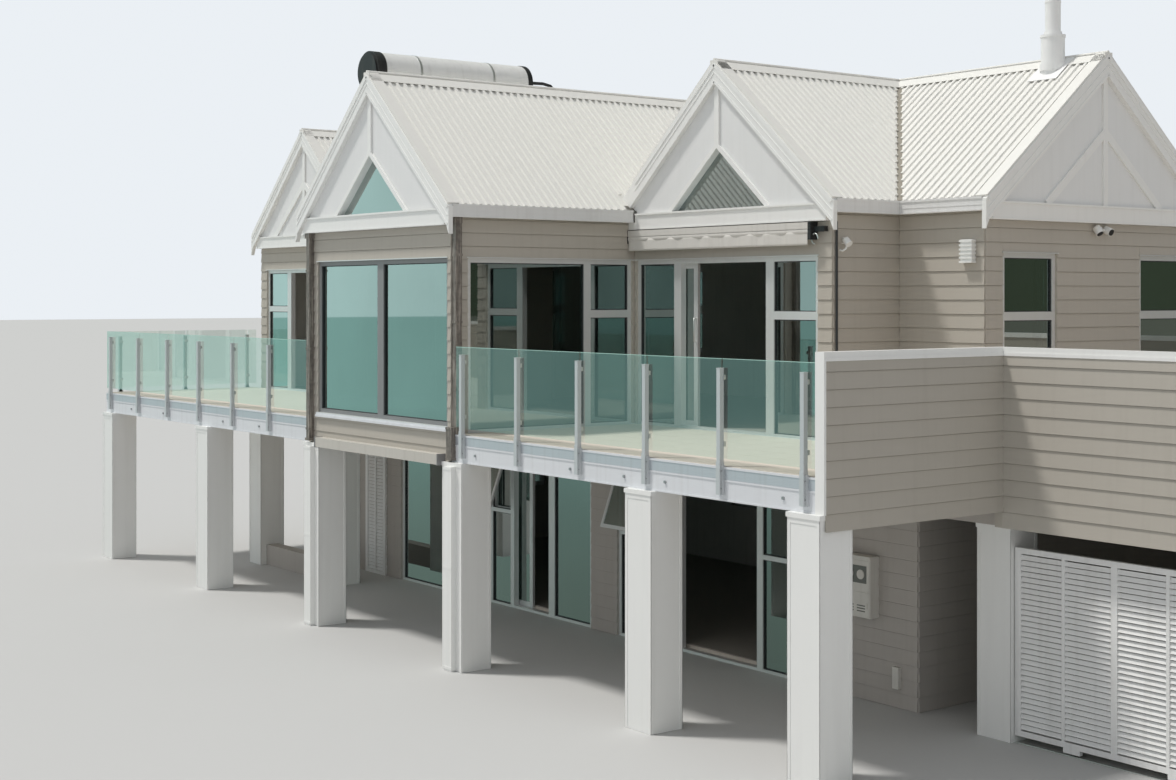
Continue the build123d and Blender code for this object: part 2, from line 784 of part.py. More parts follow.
run_a_posts = [(run_a_left + start, run_a_left + start + width)
               for start, width in zip(run_a_post_starts, run_a_post_widths)]
run_b_posts = [(run_b_left + start, run_b_left + start + width)
               for start, width in zip(run_b_post_starts, run_b_post_widths)]
ground_rail = (ground_transom, ground_transom_height)
ground_frames = []
ground_glass = []
for run, posts, rails, doorway, sash in (
        ((run_a_left, run_a_right), run_a_posts, {2: ground_rail}, 3, 2),
        ((run_b_left, run_b_right), run_b_posts, {0: ground_rail, 2: ground_rail}, 1, 0)):
    ring, panes = glazed(run[0], run[1], 0, ground_head, posts, rails, sill, (doorway,), (sash,))
    ground_frames.append(place(ring, "front", storey_front))
    ground_glass += [place(sheet, "front", storey_front) for sheet in panes]
for face, side, windows in ((ground_left, "left", left_ground_windows),
                            (main_back, "back", back_ground_windows)):
    for window in windows:
        ring, panes = glazed(*window)
        ground_frames.append(place(ring, side, face))
        ground_glass += [place(sheet, side, face) for sheet in panes]

# Two top-hung sashes stand open in front of the frame, each hung from a rail along its top
frame_front = storey_front + frame_set_back
sash_top = ground_head - frame_width
sash_bottom = ground_transom + ground_transom_height
nodes["open_sashes"] = []
for left, right in ((run_a_posts[1][1], run_a_posts[2][0]), (run_b_left + frame_width, run_b_posts[0][0])):
    x0, x1 = left + sash_gap, right - sash_gap
    drop = sash_bottom - sash_top + sash_gap
    ring = block(x0, x1, -sash_thickness, 0, drop, 0)
    ring = ring - block(x0 + sash_frame, x1 - sash_frame, -sash_thickness, 0, drop + sash_frame, -sash_frame)
    sheet = block(x0 + sash_frame, x1 - sash_frame, -sash_thickness / 2 - pane / 2,
                  pane / 2 - sash_thickness / 2, drop + sash_frame, -sash_frame)
    swing = Pos(0, frame_front, sash_top) * Rot(-sash_angle, 0, 0)
    rail = block(x0, x1, frame_front - sash_thickness, frame_front, sash_top, sash_top + sash_frame)
    nodes["open_sashes"].append(swing * ring + rail)
    ground_glass.append(swing * sheet)
nodes["ground_frames"] = ground_frames
nodes["ground_glass"] = ground_glass

track_front = storey_front + frame_set_back + frame_depth
track_back = storey_front + wall
door_tracks = [block(left, right, track_front, track_back, 0, track_height)
               for left, right in ((run_a_left, run_a_right), (run_b_left, run_b_right))]
leaf_front = track_front + track_gap
leaf_back = leaf_front + leaf_thickness
left_door_shut = run_a_posts[-1][0] + left_door_cover - left_door_width
right_door_shut = run_b_posts[0][1] - right_door_cover


def sliding_leaf(left, width):
    """Stiles, rails and rollers of a sliding door leaf, and its pane."""
    right = left + width
    low = track_height + roller_gap + roller_height
    high = ground_head - leaf_head_gap
    leaf = block(left, right, leaf_front, leaf_back, low, high)
    leaf = leaf - block(left + leaf_stile, right - leaf_stile, leaf_front, leaf_back,
                        low + leaf_stile, high - leaf_stile)
    for start in (left + leaf_stile, right - leaf_stile - roller_length):
        leaf = leaf + block(start, start + roller_length, leaf_front + pane, leaf_back - pane,
                            low - roller_height, low)
    middle = (leaf_front + leaf_back) / 2
    sheet = block(left + leaf_stile, right - leaf_stile, middle - pane / 2, middle + pane / 2,
                  low + leaf_stile, high - leaf_stile)
    return leaf, sheet


left_leaf, left_sheet = sliding_leaf(left_door_shut - left_door_rest, left_door_width)
right_leaf, right_sheet = sliding_leaf(right_door_shut + right_door_rest, right_door_width)
nodes["left_door_leaf"] = [left_leaf]
nodes["left_door_glass"] = [left_sheet]
nodes["right_door_leaf"] = [right_leaf]
nodes["right_door_glass"] = [right_sheet]

# Barriers of the decks

barrier_back = fascia_face
barrier_front = fascia_face - post_width
post_foot, post_top = floor_level - post_drop, floor_level + post_height
glass_foot, glass_top = floor_level + glass_lift, floor_level + glass_height


def evenly(first, last, count):
    """Places evenly spaced from the first to the last."""
    return [first + (last - first) * index / (count - 1) for index in range(count)]


right_posts = evenly(wing_1_right + post_first_right, inner_face - post_last_right, post_count)
left_posts = evenly(deck_left + post_first_left, wing_1_left - post_last_left, post_count)
posts = [block(x - post_width / 2, x + post_width / 2, barrier_front, barrier_back, post_foot, post_top)
         for x in left_posts + right_posts]
end_post_y = evenly(fascia_face + end_post_first, storey_front - end_post_last, end_post_count)
for y in end_post_y:
    posts.append(block(deck_left - post_width, deck_left, y - post_width / 2, y + post_width / 2,
                       post_foot, post_top))
nodes["balustrade_posts"] = posts


def glass_run(edges, along_x):
    """Sheets of barrier glass between neighbouring edges."""
    sheets = []
    for start, end in zip(edges[:-1], edges[1:]):
        low, high = start + glass_gap / 2, end - glass_gap / 2
        if along_x:
            sheets.append(block(low, high, fascia_face, fascia_face + glass_thickness, glass_foot, glass_top))
        else:
            sheets.append(block(deck_left, deck_left + glass_thickness, low, high, glass_foot, glass_top))
    return sheets


nodes["balustrade_glass"] = (
    glass_run([deck_left + glass_thickness] + left_posts[1:] + [wing_1_left], True)
    + glass_run([wing_1_right + downpipe] + right_posts[1:-1] + [inner_face], True)
    + glass_run([fascia_face] + end_post_y[1:] + [storey_front], False))

# Parapets of the right deck and the carport roof

body_top = parapet_top - parapet_cap_height
column_back = column_face + column_size
side_outline = [(fascia_face, ceiling_level), (column_back, ceiling_level), (column_back, parapet_1_bottom),
                (parapet_2_front, parapet_1_bottom), (parapet_2_front, body_top), (fascia_face, body_top)]
nodes["side_parapet"] = [outline_along_x(side_outline, inner_face, parapet_1_face)]
nodes["carport_parapet"] = [joined([
    block(inner_face, carport_right, parapet_2_front, parapet_2_back, parapet_2_bottom, body_top),
    block(carport_inner, carport_right, parapet_2_back, main_back, ceiling_level, body_top),
    block(main_right, carport_inner, main_back - parapet_thickness, main_back, ceiling_level, body_top),
])]


def cap(x0, x1, y0, y1):
    proud = parapet_cap_proud
    return block(x0 - proud, x1 + proud, y0 - proud, y1 + proud, body_top, parapet_top)


caps = joined([
    cap(inner_face, parapet_1_face, fascia_face, parapet_2_front),
    cap(inner_face, carport_right, parapet_2_front, parapet_2_back),
    cap(carport_inner, carport_right, parapet_2_back, main_back),
    cap(main_right, carport_inner, main_back - parapet_thickness, main_back),
])
house_end = block(main_left, main_right, 0, main_back, 0, ridge_level)
end_board = block(inner_face, parapet_1_face + parapet_cap_proud, fascia_face - end_trim, fascia_face,
                  ceiling_level, parapet_top)
nodes["parapet_caps"] = [(caps - house_end) + end_board]

# Gate, its track and the fixed screens


def slatted(x0, x1, y0, y1, z0, z1, stiles, slat_y):
    """Slatted panel: full-length slats, stiles and two rails as one piece."""
    bars = [block(x0, x1, y0, y1, z0, z0 + gate_rail), block(x0, x1, y0, y1, z1 - gate_rail, z1)]
    bars += [block(left, right, y0, y1, z0, z1) for left, right in stiles]
    count = int((z1 - z0 - 2 * gate_rail) / slat_pitch)
    spare = z1 - z0 - 2 * gate_rail - count * slat_pitch
    first = z0 + gate_rail + (spare + slat_pitch - slat_blade) / 2
    slats = [block(x0, x1, slat_y - slat_thickness / 2, slat_y + slat_thickness / 2,
                   first + slat_pitch * index, first + slat_pitch * index + slat_blade)
             for index in range(count)]
    return bars[0].fuse(*bars[1:], *slats)


def stiles_between(left, count, pitch):
    """Stiles at the panels' ends and a slimmer one in the middle of each."""
    stiles = []
    for index in range(count + 1):
        middle = left + pitch * index
        start = min(max(middle - gate_stile / 2, left), left + pitch * count - gate_stile)
        stiles.append((start, start + gate_stile))
        if index < count:
            half_way = middle + pitch / 2
            stiles.append((half_way - gate_mid_stile / 2, half_way + gate_mid_stile / 2))
    return stiles


gate_left = carport_x[0] + half_column + gate_clearance
gate_right = gate_left + gate_panels * gate_panel
gate_middle = (gate_front + gate_back) / 2
gate = slatted(gate_left, gate_right, gate_front, gate_back, gate_bottom, gate_top,
               stiles_between(gate_left, gate_panels, gate_panel), gate_middle)
wheel_centre = gate_track_height + roller_gap + wheel_radius
wheel_slot = wheel_radius + wheel_clearance
gate_wheels = []
for index in range(gate_panels):
    box_left = gate_left + gate_panel * (index + 0.5)
    box_right = box_left + wheel_box_length
    middle = (box_left + box_right) / 2
    slot = wheel_width / 2 + roller_height / 2
    box = block(box_left, box_right, gate_front, gate_back, gate_bottom - wheel_box_height, gate_bottom)
    box = box - block(middle - wheel_slot, middle + wheel_slot, gate_middle - slot, gate_middle + slot, 0,
                      gate_bottom)
    gate = gate + box
    across = Rot(90, 0, 0)
    wheel = across * Cylinder(wheel_radius, wheel_width) + across * Cylinder(axle_radius, 2 * slot)
    gate_wheels.append(Pos(middle, gate_middle, wheel_centre) * wheel)
nodes["gate"] = [gate]
nodes["gate_wheels"] = gate_wheels
gate_track = block(carport_x[0] + half_column, carport_right, gate_middle - gate_track_width / 2,
                   gate_middle + gate_track_width / 2, 0, gate_track_height)
nodes["tracks"] = door_tracks + [gate_track]

screen_left = carport_x[1] + half_column
screen_right = carport_x[2] - half_column
screen_panel = (screen_right - screen_left) / gate_panels
screen_y = screen_front + column_size / 2
louvre_front = storey_front - gate_thickness
louvre_left = run_a_left - louvre_inset - louvre_width
nodes["slatted_screens"] = [
    slatted(screen_left, screen_right, screen_y, screen_y + gate_thickness, 0, gate_top,
            stiles_between(screen_left, gate_panels, screen_panel), screen_y + gate_thickness / 2),
    slatted(louvre_left, louvre_left + louvre_width, louvre_front, storey_front, 0, ground_head,
            stiles_between(louvre_left, 1, louvre_width), storey_front - gate_thickness / 2)]

# Fittings

blind_front = wing_1_front - blind_box
blind_bottom = ceiling_level - blind_drop
nodes["blind_box"] = [block(front_x[2] + half_column + blind_gap, front_x[3] - half_column - blind_gap,
                            blind_front, wing_1_front, blind_bottom, blind_bottom + blind_box)]

awning_left = wing_1_right + awning_start
awning_right = wing_2_right - awning_end
awning_top = band_bottom - awning_gap
awning_box_bottom = awning_top - awning_box_height
cloth_front = storey_front - awning_box_depth
nodes["awning_box"] = [block(awning_left, awning_right, cloth_front, storey_front, awning_box_bottom,
                             awning_top)]
nodes["awning_cloth"] = [block(awning_left, awning_right, cloth_front, cloth_front + cloth_thickness,
                               awning_box_bottom - awning_drop, awning_box_bottom)]

# Downpipes: one on the front of the middle wing, one on its side with a boot over the deck's edge
downpipe_foot = ceiling_level + downpipe_lift
front_pipe_left = wing_1_left + downpipe_inset
front_pipe = block(front_pipe_left, front_pipe_left + downpipe, wing_1_front - downpipe, wing_1_front,
                   downpipe_foot, band_bottom)
side_pipe_right = wing_1_right + downpipe
side_pipe = block(wing_1_right, side_pipe_right, wing_1_front, wing_1_front + downpipe, floor_level, wall_top)
boot = block(side_pipe_right - boot_width, side_pipe_right, wing_1_front - boot_depth, wing_1_front,
             downpipe_foot, glass_foot)
nodes["downpipes"] = [front_pipe, side_pipe + boot]
nodes["column_pipes"] = [
    block(x - column_pipe_width / 2, x + column_pipe_width / 2, column_face - column_pipe_depth, column_face,
          0, ceiling_level - cap_height) for x in front_x[2:4]]

tank_x = wing_1_centre - tank_offset
tank_front = wing_1_front + tank_start
tank_middle = tank_front + tank_length / 2
tank_centre = ridge_level + tank_rise
tank = Pos(tank_x, tank_middle, tank_centre) * Rot(90, 0, 0) * Cylinder(tank_radius, tank_length)
for y in (tank_front + cradle_inset, tank_front + tank_length - cradle_inset):
    cradle = block(tank_x - tank_radius / 2, tank_x + tank_radius / 2, y - cradle_width / 2,
                   y + cradle_width / 2, eave_top, tank_centre)
    tank = tank + (cradle - outer)
nodes["solar_tank"] = [tank]
slope_run = wing_1_half + eave_overhang
slope_angle = degrees(atan2(roof_rise, slope_run))
collectors = []
for index in range(collector_count):
    y = tank_middle + (index - (collector_count - 1) / 2) * (collector_width + collector_foot)
    plate = Pos(0, 0, collector_foot + collector_thickness / 2) * Box(collector_length, collector_width,
                                                                     collector_thickness)
    for side in (-1, 1):
        rail_y = side * (collector_width / 2 - collector_foot)
        plate = plate + Pos(0, rail_y, collector_foot / 2) * Box(collector_length, collector_foot,
                                                                 collector_foot)
    along = collector_drop + collector_length / 2
    slant = (slope_run ** 2 + roof_rise ** 2) ** 0.5
    spot = Pos(wing_1_centre - along * slope_run / slant, y, ridge_level - along * roof_rise / slant)
    collectors.append(spot * Rot(0, -slope_angle, 0) * plate)
nodes["solar_collectors"] = collectors

flue_x = main_right - flue_inset
flue_y = main_centre - flue_forward
flue_casing_top = ridge_level + flue_casing_rise
flue_top = flue_casing_top + flue_pipe
casing = Pos(flue_x, flue_y, (eave_top + flue_casing_top) / 2) * Cylinder(flue_casing,
                                                                          flue_casing_top - eave_top)
pipe = Pos(flue_x, flue_y, (flue_casing_top + flue_top) / 2) * Cylinder(flue_radius,
                                                                        flue_top - flue_casing_top)
cowl = Pos(flue_x, flue_y, flue_top + cowl_height / 2) * Cylinder(cowl_radius, cowl_height)
nodes["flue"] = [(casing - outer) + pipe + cowl]

meter_front = storey_front - meter_depth
meter_left = run_b_right + meter_inset
outlet_left = main_right - outlet_inset - outlet_width
nodes["meter_box"] = [
    block(meter_left, meter_left + meter_width, meter_front, storey_front, meter_bottom,
          meter_bottom + meter_height),
    block(outlet_left, outlet_left + outlet_width, storey_front - outlet_depth, storey_front,
          outlet_bottom, outlet_bottom + outlet_height)]
bulkhead_left = main_right - bulkhead_inset - bulkhead_width
bulkhead_bottom = head_level - bulkhead_drop
floodlight_bottom = band_bottom - floodlight_drop
sensor_bottom = band_bottom - sensor_drop
nodes["wall_lights"] = [
    block(bulkhead_left, bulkhead_left + bulkhead_width, main_front - bulkhead_depth, main_front,
          bulkhead_bottom, bulkhead_bottom + bulkhead_height),
    block(main_right, main_right + floodlight_depth, main_centre - floodlight_width / 2,
          main_centre + floodlight_width / 2, floodlight_bottom, floodlight_bottom + floodlight_height),
    block(wing_2_right, wing_2_right + floodlight_depth, storey_front + sensor_inset,
          storey_front + sensor_inset + sensor_size, sensor_bottom, sensor_bottom + sensor_size)]

for name, solids in nodes.items():
    parts = []
    for solid in solids:
        parts += solid.solids()
    export_step(Compound(children=parts) if len(parts) > 1 else parts[0], f"parts/{name}.step")
print(len(nodes), "pieces written")
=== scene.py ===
import json
import math

import bpy
from mathutils import Matrix, Vector


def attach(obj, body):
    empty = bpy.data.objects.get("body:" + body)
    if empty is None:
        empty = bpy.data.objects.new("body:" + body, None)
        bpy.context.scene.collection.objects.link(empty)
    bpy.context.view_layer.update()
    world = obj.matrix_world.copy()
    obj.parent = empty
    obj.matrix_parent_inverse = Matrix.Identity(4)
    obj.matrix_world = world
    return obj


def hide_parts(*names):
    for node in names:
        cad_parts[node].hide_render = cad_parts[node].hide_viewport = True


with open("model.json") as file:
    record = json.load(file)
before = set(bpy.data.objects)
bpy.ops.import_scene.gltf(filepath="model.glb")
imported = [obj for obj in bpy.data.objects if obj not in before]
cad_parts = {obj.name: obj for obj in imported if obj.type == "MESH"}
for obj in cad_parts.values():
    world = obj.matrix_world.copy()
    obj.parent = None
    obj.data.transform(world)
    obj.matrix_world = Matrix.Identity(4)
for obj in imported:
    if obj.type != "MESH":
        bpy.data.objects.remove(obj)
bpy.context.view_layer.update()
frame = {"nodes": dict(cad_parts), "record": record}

# The house in metres, in the frame of the CAD part
plan = {
    "main": (-10.765, 4.722), "mainDepth": (3.715, 7.765), "mainCentre": 5.74, "storeyFront": 2.635,
    "wing0": (-10.765, -7.205), "wing1": (-3.665, -0.095), "wing2": (-0.095, 3.458), "wing1Front": -0.148,
    "wall": 0.15, "groundLeft": -8.1, "groundHead": 2.385, "ceiling": 2.453, "floor": 2.78,
    "bandBottom": 5.27, "bandTop": 5.465, "wallTop": 5.36, "eave": 5.51, "ridge": 7.245, "overhang": 0.12,
    "proud": 0.08, "sideFace": 6.112, "sideBottom": 2.3, "carportFace": 2.305, "carportRight": 13.732,
    "carportHead": 2.14, "capBottom": 3.858,
}
mainLeft, mainRight = plan["main"]
mainFront, mainBack = plan["mainDepth"]
mainCentre, storey, wing1Front = plan["mainCentre"], plan["storeyFront"], plan["wing1Front"]
wing0, wing1, wing2 = plan["wing0"], plan["wing1"], plan["wing2"]
groundLeft, floor, ceiling = plan["groundLeft"], plan["floor"], plan["ceiling"]
bandBottom, wallTop, ridge, eave = plan["bandBottom"], plan["wallTop"], plan["ridge"], plan["eave"]
sideFace, carportFace, carportRight = plan["sideFace"], plan["carportFace"], plan["carportRight"]


def add(tree, kind, feeds, **settings):
    # a node with its settings, and its inputs linked or set
    node = tree.nodes.new(kind)
    for label, value in settings.items():
        setattr(node, label, value)
    for socket, value in feeds.items():
        if isinstance(value, bpy.types.NodeSocket):
            tree.links.new(value, node.inputs[socket])
        else:
            node.inputs[socket].default_value = value
    return node


def maths(tree, operation, *values, clamp=False):
    node = add(tree, "ShaderNodeMath", dict(enumerate(values)), operation=operation, use_clamp=clamp)
    return node.outputs[0]


def newGroup(name, kind, inputs, outputs):
    # an input is (label, kind of socket) and may have a value
    group = bpy.data.node_groups.new(name, kind)
    for label, socketKind, *values in inputs:
        socket = group.interface.new_socket(label, in_out="INPUT", socket_type="NodeSocket" + socketKind)
        for value in values:
            socket.default_value = value
    for label, socketKind in outputs:
        group.interface.new_socket(label, in_out="OUTPUT", socket_type="NodeSocket" + socketKind)
    return group, group.nodes.new("NodeGroupInput"), group.nodes.new("NodeGroupOutput")


# Shared effects, which give only values

def makeMottle():
    # soft patches and fine grain, both around zero
    group, entry, leave = newGroup("mottle", "ShaderNodeTree",
                                   [("Patch Size", "Float", 1.0), ("Grain Size", "Float", 0.01)],
                                   [("Patches", "Float"), ("Grain", "Float")])
    coords = add(group, "ShaderNodeTexCoord", {})
    for label, target in (("Patch Size", "Patches"), ("Grain Size", "Grain")):
        noise = add(group, "ShaderNodeTexNoise", {
            "Vector": coords.outputs["Object"], "Detail": 5.0, "Roughness": 0.6,
            "Scale": maths(group, "DIVIDE", 1.0, entry.outputs[label])})
        group.links.new(maths(group, "SUBTRACT", noise.outputs["Fac"], 0.5), leave.inputs[target])
    return group


def makeStreaks():
    # marks that run down a wall
    group, entry, leave = newGroup("streaks", "ShaderNodeTree", [("Width", "Float", 0.05)],
                                   [("Streaks", "Float")])
    coords = add(group, "ShaderNodeTexCoord", {})
    squash = add(group, "ShaderNodeMapping", {"Vector": coords.outputs["Object"], "Scale": (1.0, 1.0, 0.06)})
    noise = add(group, "ShaderNodeTexNoise", {
        "Vector": squash.outputs["Vector"], "Detail": 3.0,
        "Scale": maths(group, "DIVIDE", 1.0, entry.outputs["Width"])})
    limits = add(group, "ShaderNodeMapRange", {"Value": noise.outputs["Fac"], "From Min": 0.5,
                                               "From Max": 0.75})
    group.links.new(limits.outputs["Result"], leave.inputs["Streaks"])
    return group


mottle = makeMottle()
streaks = makeStreaks()


def mixColour(tree, factor, colourA, colourB):
    mix = add(tree, "ShaderNodeMix", {}, data_type="RGBA")
    sockets = {item.identifier: item for item in (*mix.inputs, *mix.outputs)}
    for label, value in (("Factor_Float", factor), ("A_Color", colourA), ("B_Color", colourB)):
        if isinstance(value, bpy.types.NodeSocket):
            tree.links.new(value, sockets[label])
        else:
            sockets[label].default_value = (*value, 1.0)
    return sockets["Result_Color"]


def newMaterial(name):
    material = bpy.data.materials.new(name)
    material.use_nodes = True
    return material, material.node_tree, material.node_tree.nodes["Principled BSDF"]


def surface(name, look):
    # a painted, cast or metal surface: patches, grain, streaks, a little relief
    material, tree, shader = newMaterial(name)
    for label, key in (("Roughness", "roughness"), ("Metallic", "metallic"), ("Coat Weight", "coat")):
        shader.inputs[label].default_value = look.get(key, 0.0)
    effect = add(tree, "ShaderNodeGroup", {"Patch Size": look.get("patch", 1.2),
                                           "Grain Size": look.get("grain", 0.01)}, node_tree=mottle)
    runs = add(tree, "ShaderNodeGroup", {"Width": look.get("streakWidth", 0.08)}, node_tree=streaks)
    dull = [value * look.get("dull", 0.82) for value in look["colour"]]
    patches = maths(tree, "MULTIPLY_ADD", effect.outputs["Patches"], look.get("variation", 0.6), 0.25)
    marks = maths(tree, "MULTIPLY", runs.outputs["Streaks"], look.get("streak", 0.12))
    colour = mixColour(tree, marks, mixColour(tree, patches, look["colour"], dull),
                       look.get("stain", (0.25, 0.22, 0.18)))
    bump = add(tree, "ShaderNodeBump", {"Strength": look.get("relief", 0.08), "Distance": 0.002,
                                        "Height": effect.outputs["Grain"]})
    tree.links.new(colour, shader.inputs["Base Color"])
    tree.links.new(bump.outputs["Normal"], shader.inputs["Normal"])
    return material


def glass(name, look):
    # see-through sheet that mirrors more at a slant, and only on its outer side
    material, tree, shader = newMaterial(name)
    tree.nodes.remove(shader)
    # the colour seen through the glass: its tint, and for clear glass painted shade as well
    clear = add(tree, "ShaderNodeBsdfTransparent", {"Color": (*look["tintAndShade"], 1.0)})
    mirror = add(tree, "ShaderNodeBsdfGlossy", {"Color": (*look["mirror"], 1.0),
                                                "Roughness": look["roughness"]})
    slant = add(tree, "ShaderNodeFresnel", {"IOR": 1.5})
    effect = add(tree, "ShaderNodeGroup", {"Patch Size": 1.6}, node_tree=mottle)
    least = maths(tree, "MULTIPLY_ADD", effect.outputs["Patches"], look["change"], look["least"])
    share = maths(tree, "MULTIPLY_ADD", slant.outputs["Fac"], look["gain"], least, clamp=True)
    side = add(tree, "ShaderNodeNewGeometry", {})
    outer = maths(tree, "SUBTRACT", 1.0, side.outputs["Backfacing"])
    mixed = add(tree, "ShaderNodeMixShader", {0: maths(tree, "MULTIPLY", share, outer),
                                              1: clear.outputs[0], 2: mirror.outputs[0]})
    tree.links.new(mixed.outputs[0], tree.nodes["Material Output"].inputs["Surface"])
    return material


paints = {
    "render": {"colour": (0.50, 0.47, 0.435), "roughness": 0.85, "relief": 0.25, "streak": 0.1},
    "weatherboard": {"colour": (0.49, 0.455, 0.40), "roughness": 0.6, "patch": 2.0, "relief": 0.12,
                     "streak": 0.08, "dull": 0.9},
    "white_trim": {"colour": (0.89, 0.89, 0.87), "roughness": 0.4, "dull": 0.94, "streak": 0.04, "coat": 0.1},
    "roof_steel": {"colour": (0.83, 0.82, 0.78), "roughness": 0.5, "dull": 0.94, "patch": 3.0,
                   "streak": 0.03},
    "gutter_white": {"colour": (0.82, 0.82, 0.81), "roughness": 0.4, "streak": 0.1},
    "deck_concrete": {"colour": (0.74, 0.67, 0.59), "roughness": 0.8, "relief": 0.2, "dull": 0.9},
    "fascia": {"colour": (0.78, 0.80, 0.83), "roughness": 0.4, "streak": 0.1},
    "frame_aluminium": {"colour": (0.76, 0.76, 0.76), "roughness": 0.38, "metallic": 0.35, "streak": 0.03},
    "grey_frame": {"colour": (0.25, 0.25, 0.255), "roughness": 0.42},
    "blind_case": {"colour": (0.60, 0.57, 0.52), "roughness": 0.5},
    "flue_white": {"colour": (0.92, 0.92, 0.91), "roughness": 0.4, "streak": 0.06, "dull": 0.94},
    "black_cap": {"colour": (0.022, 0.022, 0.024), "roughness": 0.6},
    "gasket": {"colour": (0.035, 0.035, 0.04), "roughness": 0.6},
    "lining": {"colour": (0.72, 0.70, 0.66), "roughness": 0.85, "relief": 0.05},
    "carpet": {"colour": (0.36, 0.33, 0.30), "roughness": 0.95, "relief": 0.5, "grain": 0.004},
    "lamp": {"colour": (0.9, 0.9, 0.88), "roughness": 0.25, "coat": 0.5},
    "post_aluminium": {"colour": (0.64, 0.655, 0.67), "roughness": 0.4, "metallic": 0.25, "streak": 0.04},
    "gate_white": {"colour": (0.88, 0.88, 0.87), "roughness": 0.42, "dull": 0.94},
    "steel": {"colour": (0.72, 0.72, 0.71), "roughness": 0.4, "metallic": 0.7},
    "tank_shell": {"colour": (0.90, 0.90, 0.88), "roughness": 0.4, "metallic": 0.1},
    "collector_glass": {"colour": (0.03, 0.035, 0.05), "roughness": 0.12, "coat": 0.8},
    "taupe_metal": {"colour": (0.19, 0.165, 0.145), "roughness": 0.5, "streak": 0.75, "streakWidth": 0.022,
                    "stain": (0.55, 0.50, 0.44), "patch": 0.05, "variation": 2.5, "dull": 0.45},
    "awning_fabric": {"colour": (0.72, 0.70, 0.66), "roughness": 0.9, "relief": 0.4, "grain": 0.003},
    "grey_box": {"colour": (0.74, 0.72, 0.67), "roughness": 0.5},
    # meter_glass is dark: painted shade of the inside of the meter box
    "meter_glass": {"colour": (0.17, 0.165, 0.15), "roughness": 0.25, "coat": 0.4},
    "gable_panel": {"colour": (0.83, 0.835, 0.83), "roughness": 0.5, "streak": 0.04, "dull": 0.94},
    "channel": {"colour": (0.60, 0.635, 0.68), "roughness": 0.35, "metallic": 0.3},
    "bolt": {"colour": (0.42, 0.42, 0.43), "roughness": 0.4, "metallic": 0.6},
    "glass_edge": {"colour": (0.50, 0.74, 0.66), "roughness": 0.15, "coat": 0.5},
    "valley": {"colour": (0.34, 0.31, 0.26), "roughness": 0.6},
    "batten": {"colour": (0.80, 0.74, 0.55), "roughness": 0.7},
    "tyre_nylon": {"colour": (0.06, 0.06, 0.065), "roughness": 0.6},
}
glasses = {
    # clear_glass lets little light through: its own teal tint together with painted shade that darkens the
    # rooms seen behind it
    "clear_glass": {"tintAndShade": (0.30, 0.375, 0.36), "mirror": (0.90, 0.98, 0.96), "roughness": 0.015,
                    "gain": 4.2, "least": 0.14, "change": 0.12},
    "barrier_glass": {"tintAndShade": (0.93, 0.97, 0.95), "mirror": (0.92, 0.98, 0.97), "roughness": 0.015,
                      "gain": 1.8, "least": 0.12, "change": 0.12},
}
looks = {name: surface(name, look) for name, look in paints.items()}
looks.update({name: glass(name, look) for name, look in glasses.items()})
nodeLooks = {"awning_box": "awning_fabric", "upper_floor": "weatherboard"}  # not as their record slot
for entry in frame["record"]["subparts"]:
    mesh = frame["nodes"][entry["node"]].data
    mesh.materials.clear()
    mesh.materials.append(looks[nodeLooks.get(entry["node"], entry["material_slot"])])
print("materials set")


# Pieces that repeat or follow a path: bars on points and tubes along edges

def paintResult(group, source, entry, leave):
    real = add(group, "GeometryNodeRealizeInstances", {"Geometry": source})
    paint = add(group, "GeometryNodeSetMaterial", {"Geometry": real.outputs["Geometry"],
                                                   "Material": entry.outputs["Material"]})
    group.links.new(paint.outputs["Geometry"], leave.inputs["Geometry"])
    return group


def makeBars():
    # a cube leans back at its top front edge by Taper and narrows at its top by Pinch
    group, entry, leave = newGroup("barsOnPoints", "GeometryNodeTree",
                                   [("Geometry", "Geometry"), ("Taper", "Float"), ("Pinch", "Float"),
                                    ("Round", "Bool"), ("Sides", "Int"), ("Material", "Material")],
                                   [("Geometry", "Geometry")])
    point = add(group, "GeometryNodeInputPosition", {})
    split = add(group, "ShaderNodeSeparateXYZ", {0: point.outputs[0]})
    front = maths(group, "LESS_THAN", split.outputs[1], 0.0)
    top = maths(group, "GREATER_THAN", split.outputs[2], 0.0)
    lean = maths(group, "MULTIPLY", maths(group, "MULTIPLY", front, top), entry.outputs["Taper"])
    narrow = maths(group, "MULTIPLY", maths(group, "MULTIPLY", top, split.outputs[0]), entry.outputs["Pinch"])
    shift = add(group, "ShaderNodeCombineXYZ", {0: maths(group, "MULTIPLY", narrow, -1.0), 1: lean})
    cube = add(group, "GeometryNodeMeshCube", {})
    shape = add(group, "GeometryNodeSetPosition", {"Geometry": cube.outputs["Mesh"],
                                                   "Offset": shift.outputs[0]})
    disc = add(group, "GeometryNodeMeshCylinder", {"Vertices": entry.outputs["Sides"], "Radius": 0.5,
                                                   "Depth": 1.0})
    choice = add(group, "GeometryNodeSwitch", {"Switch": entry.outputs["Round"],
                                               "False": shape.outputs["Geometry"],
                                               "True": disc.outputs["Mesh"]}, input_type="GEOMETRY")
    size, turn = [add(group, "GeometryNodeInputNamedAttribute", {"Name": label}, data_type="FLOAT_VECTOR")
                  for label in ("size", "turn")]
    euler = add(group, "FunctionNodeEulerToRotation", {0: turn.outputs["Attribute"]})
    spread = add(group, "GeometryNodeInstanceOnPoints", {
        "Points": entry.outputs["Geometry"], "Instance": choice.outputs[0], "Rotation": euler.outputs[0],
        "Scale": size.outputs["Attribute"]})
    return paintResult(group, spread.outputs["Instances"], entry, leave)


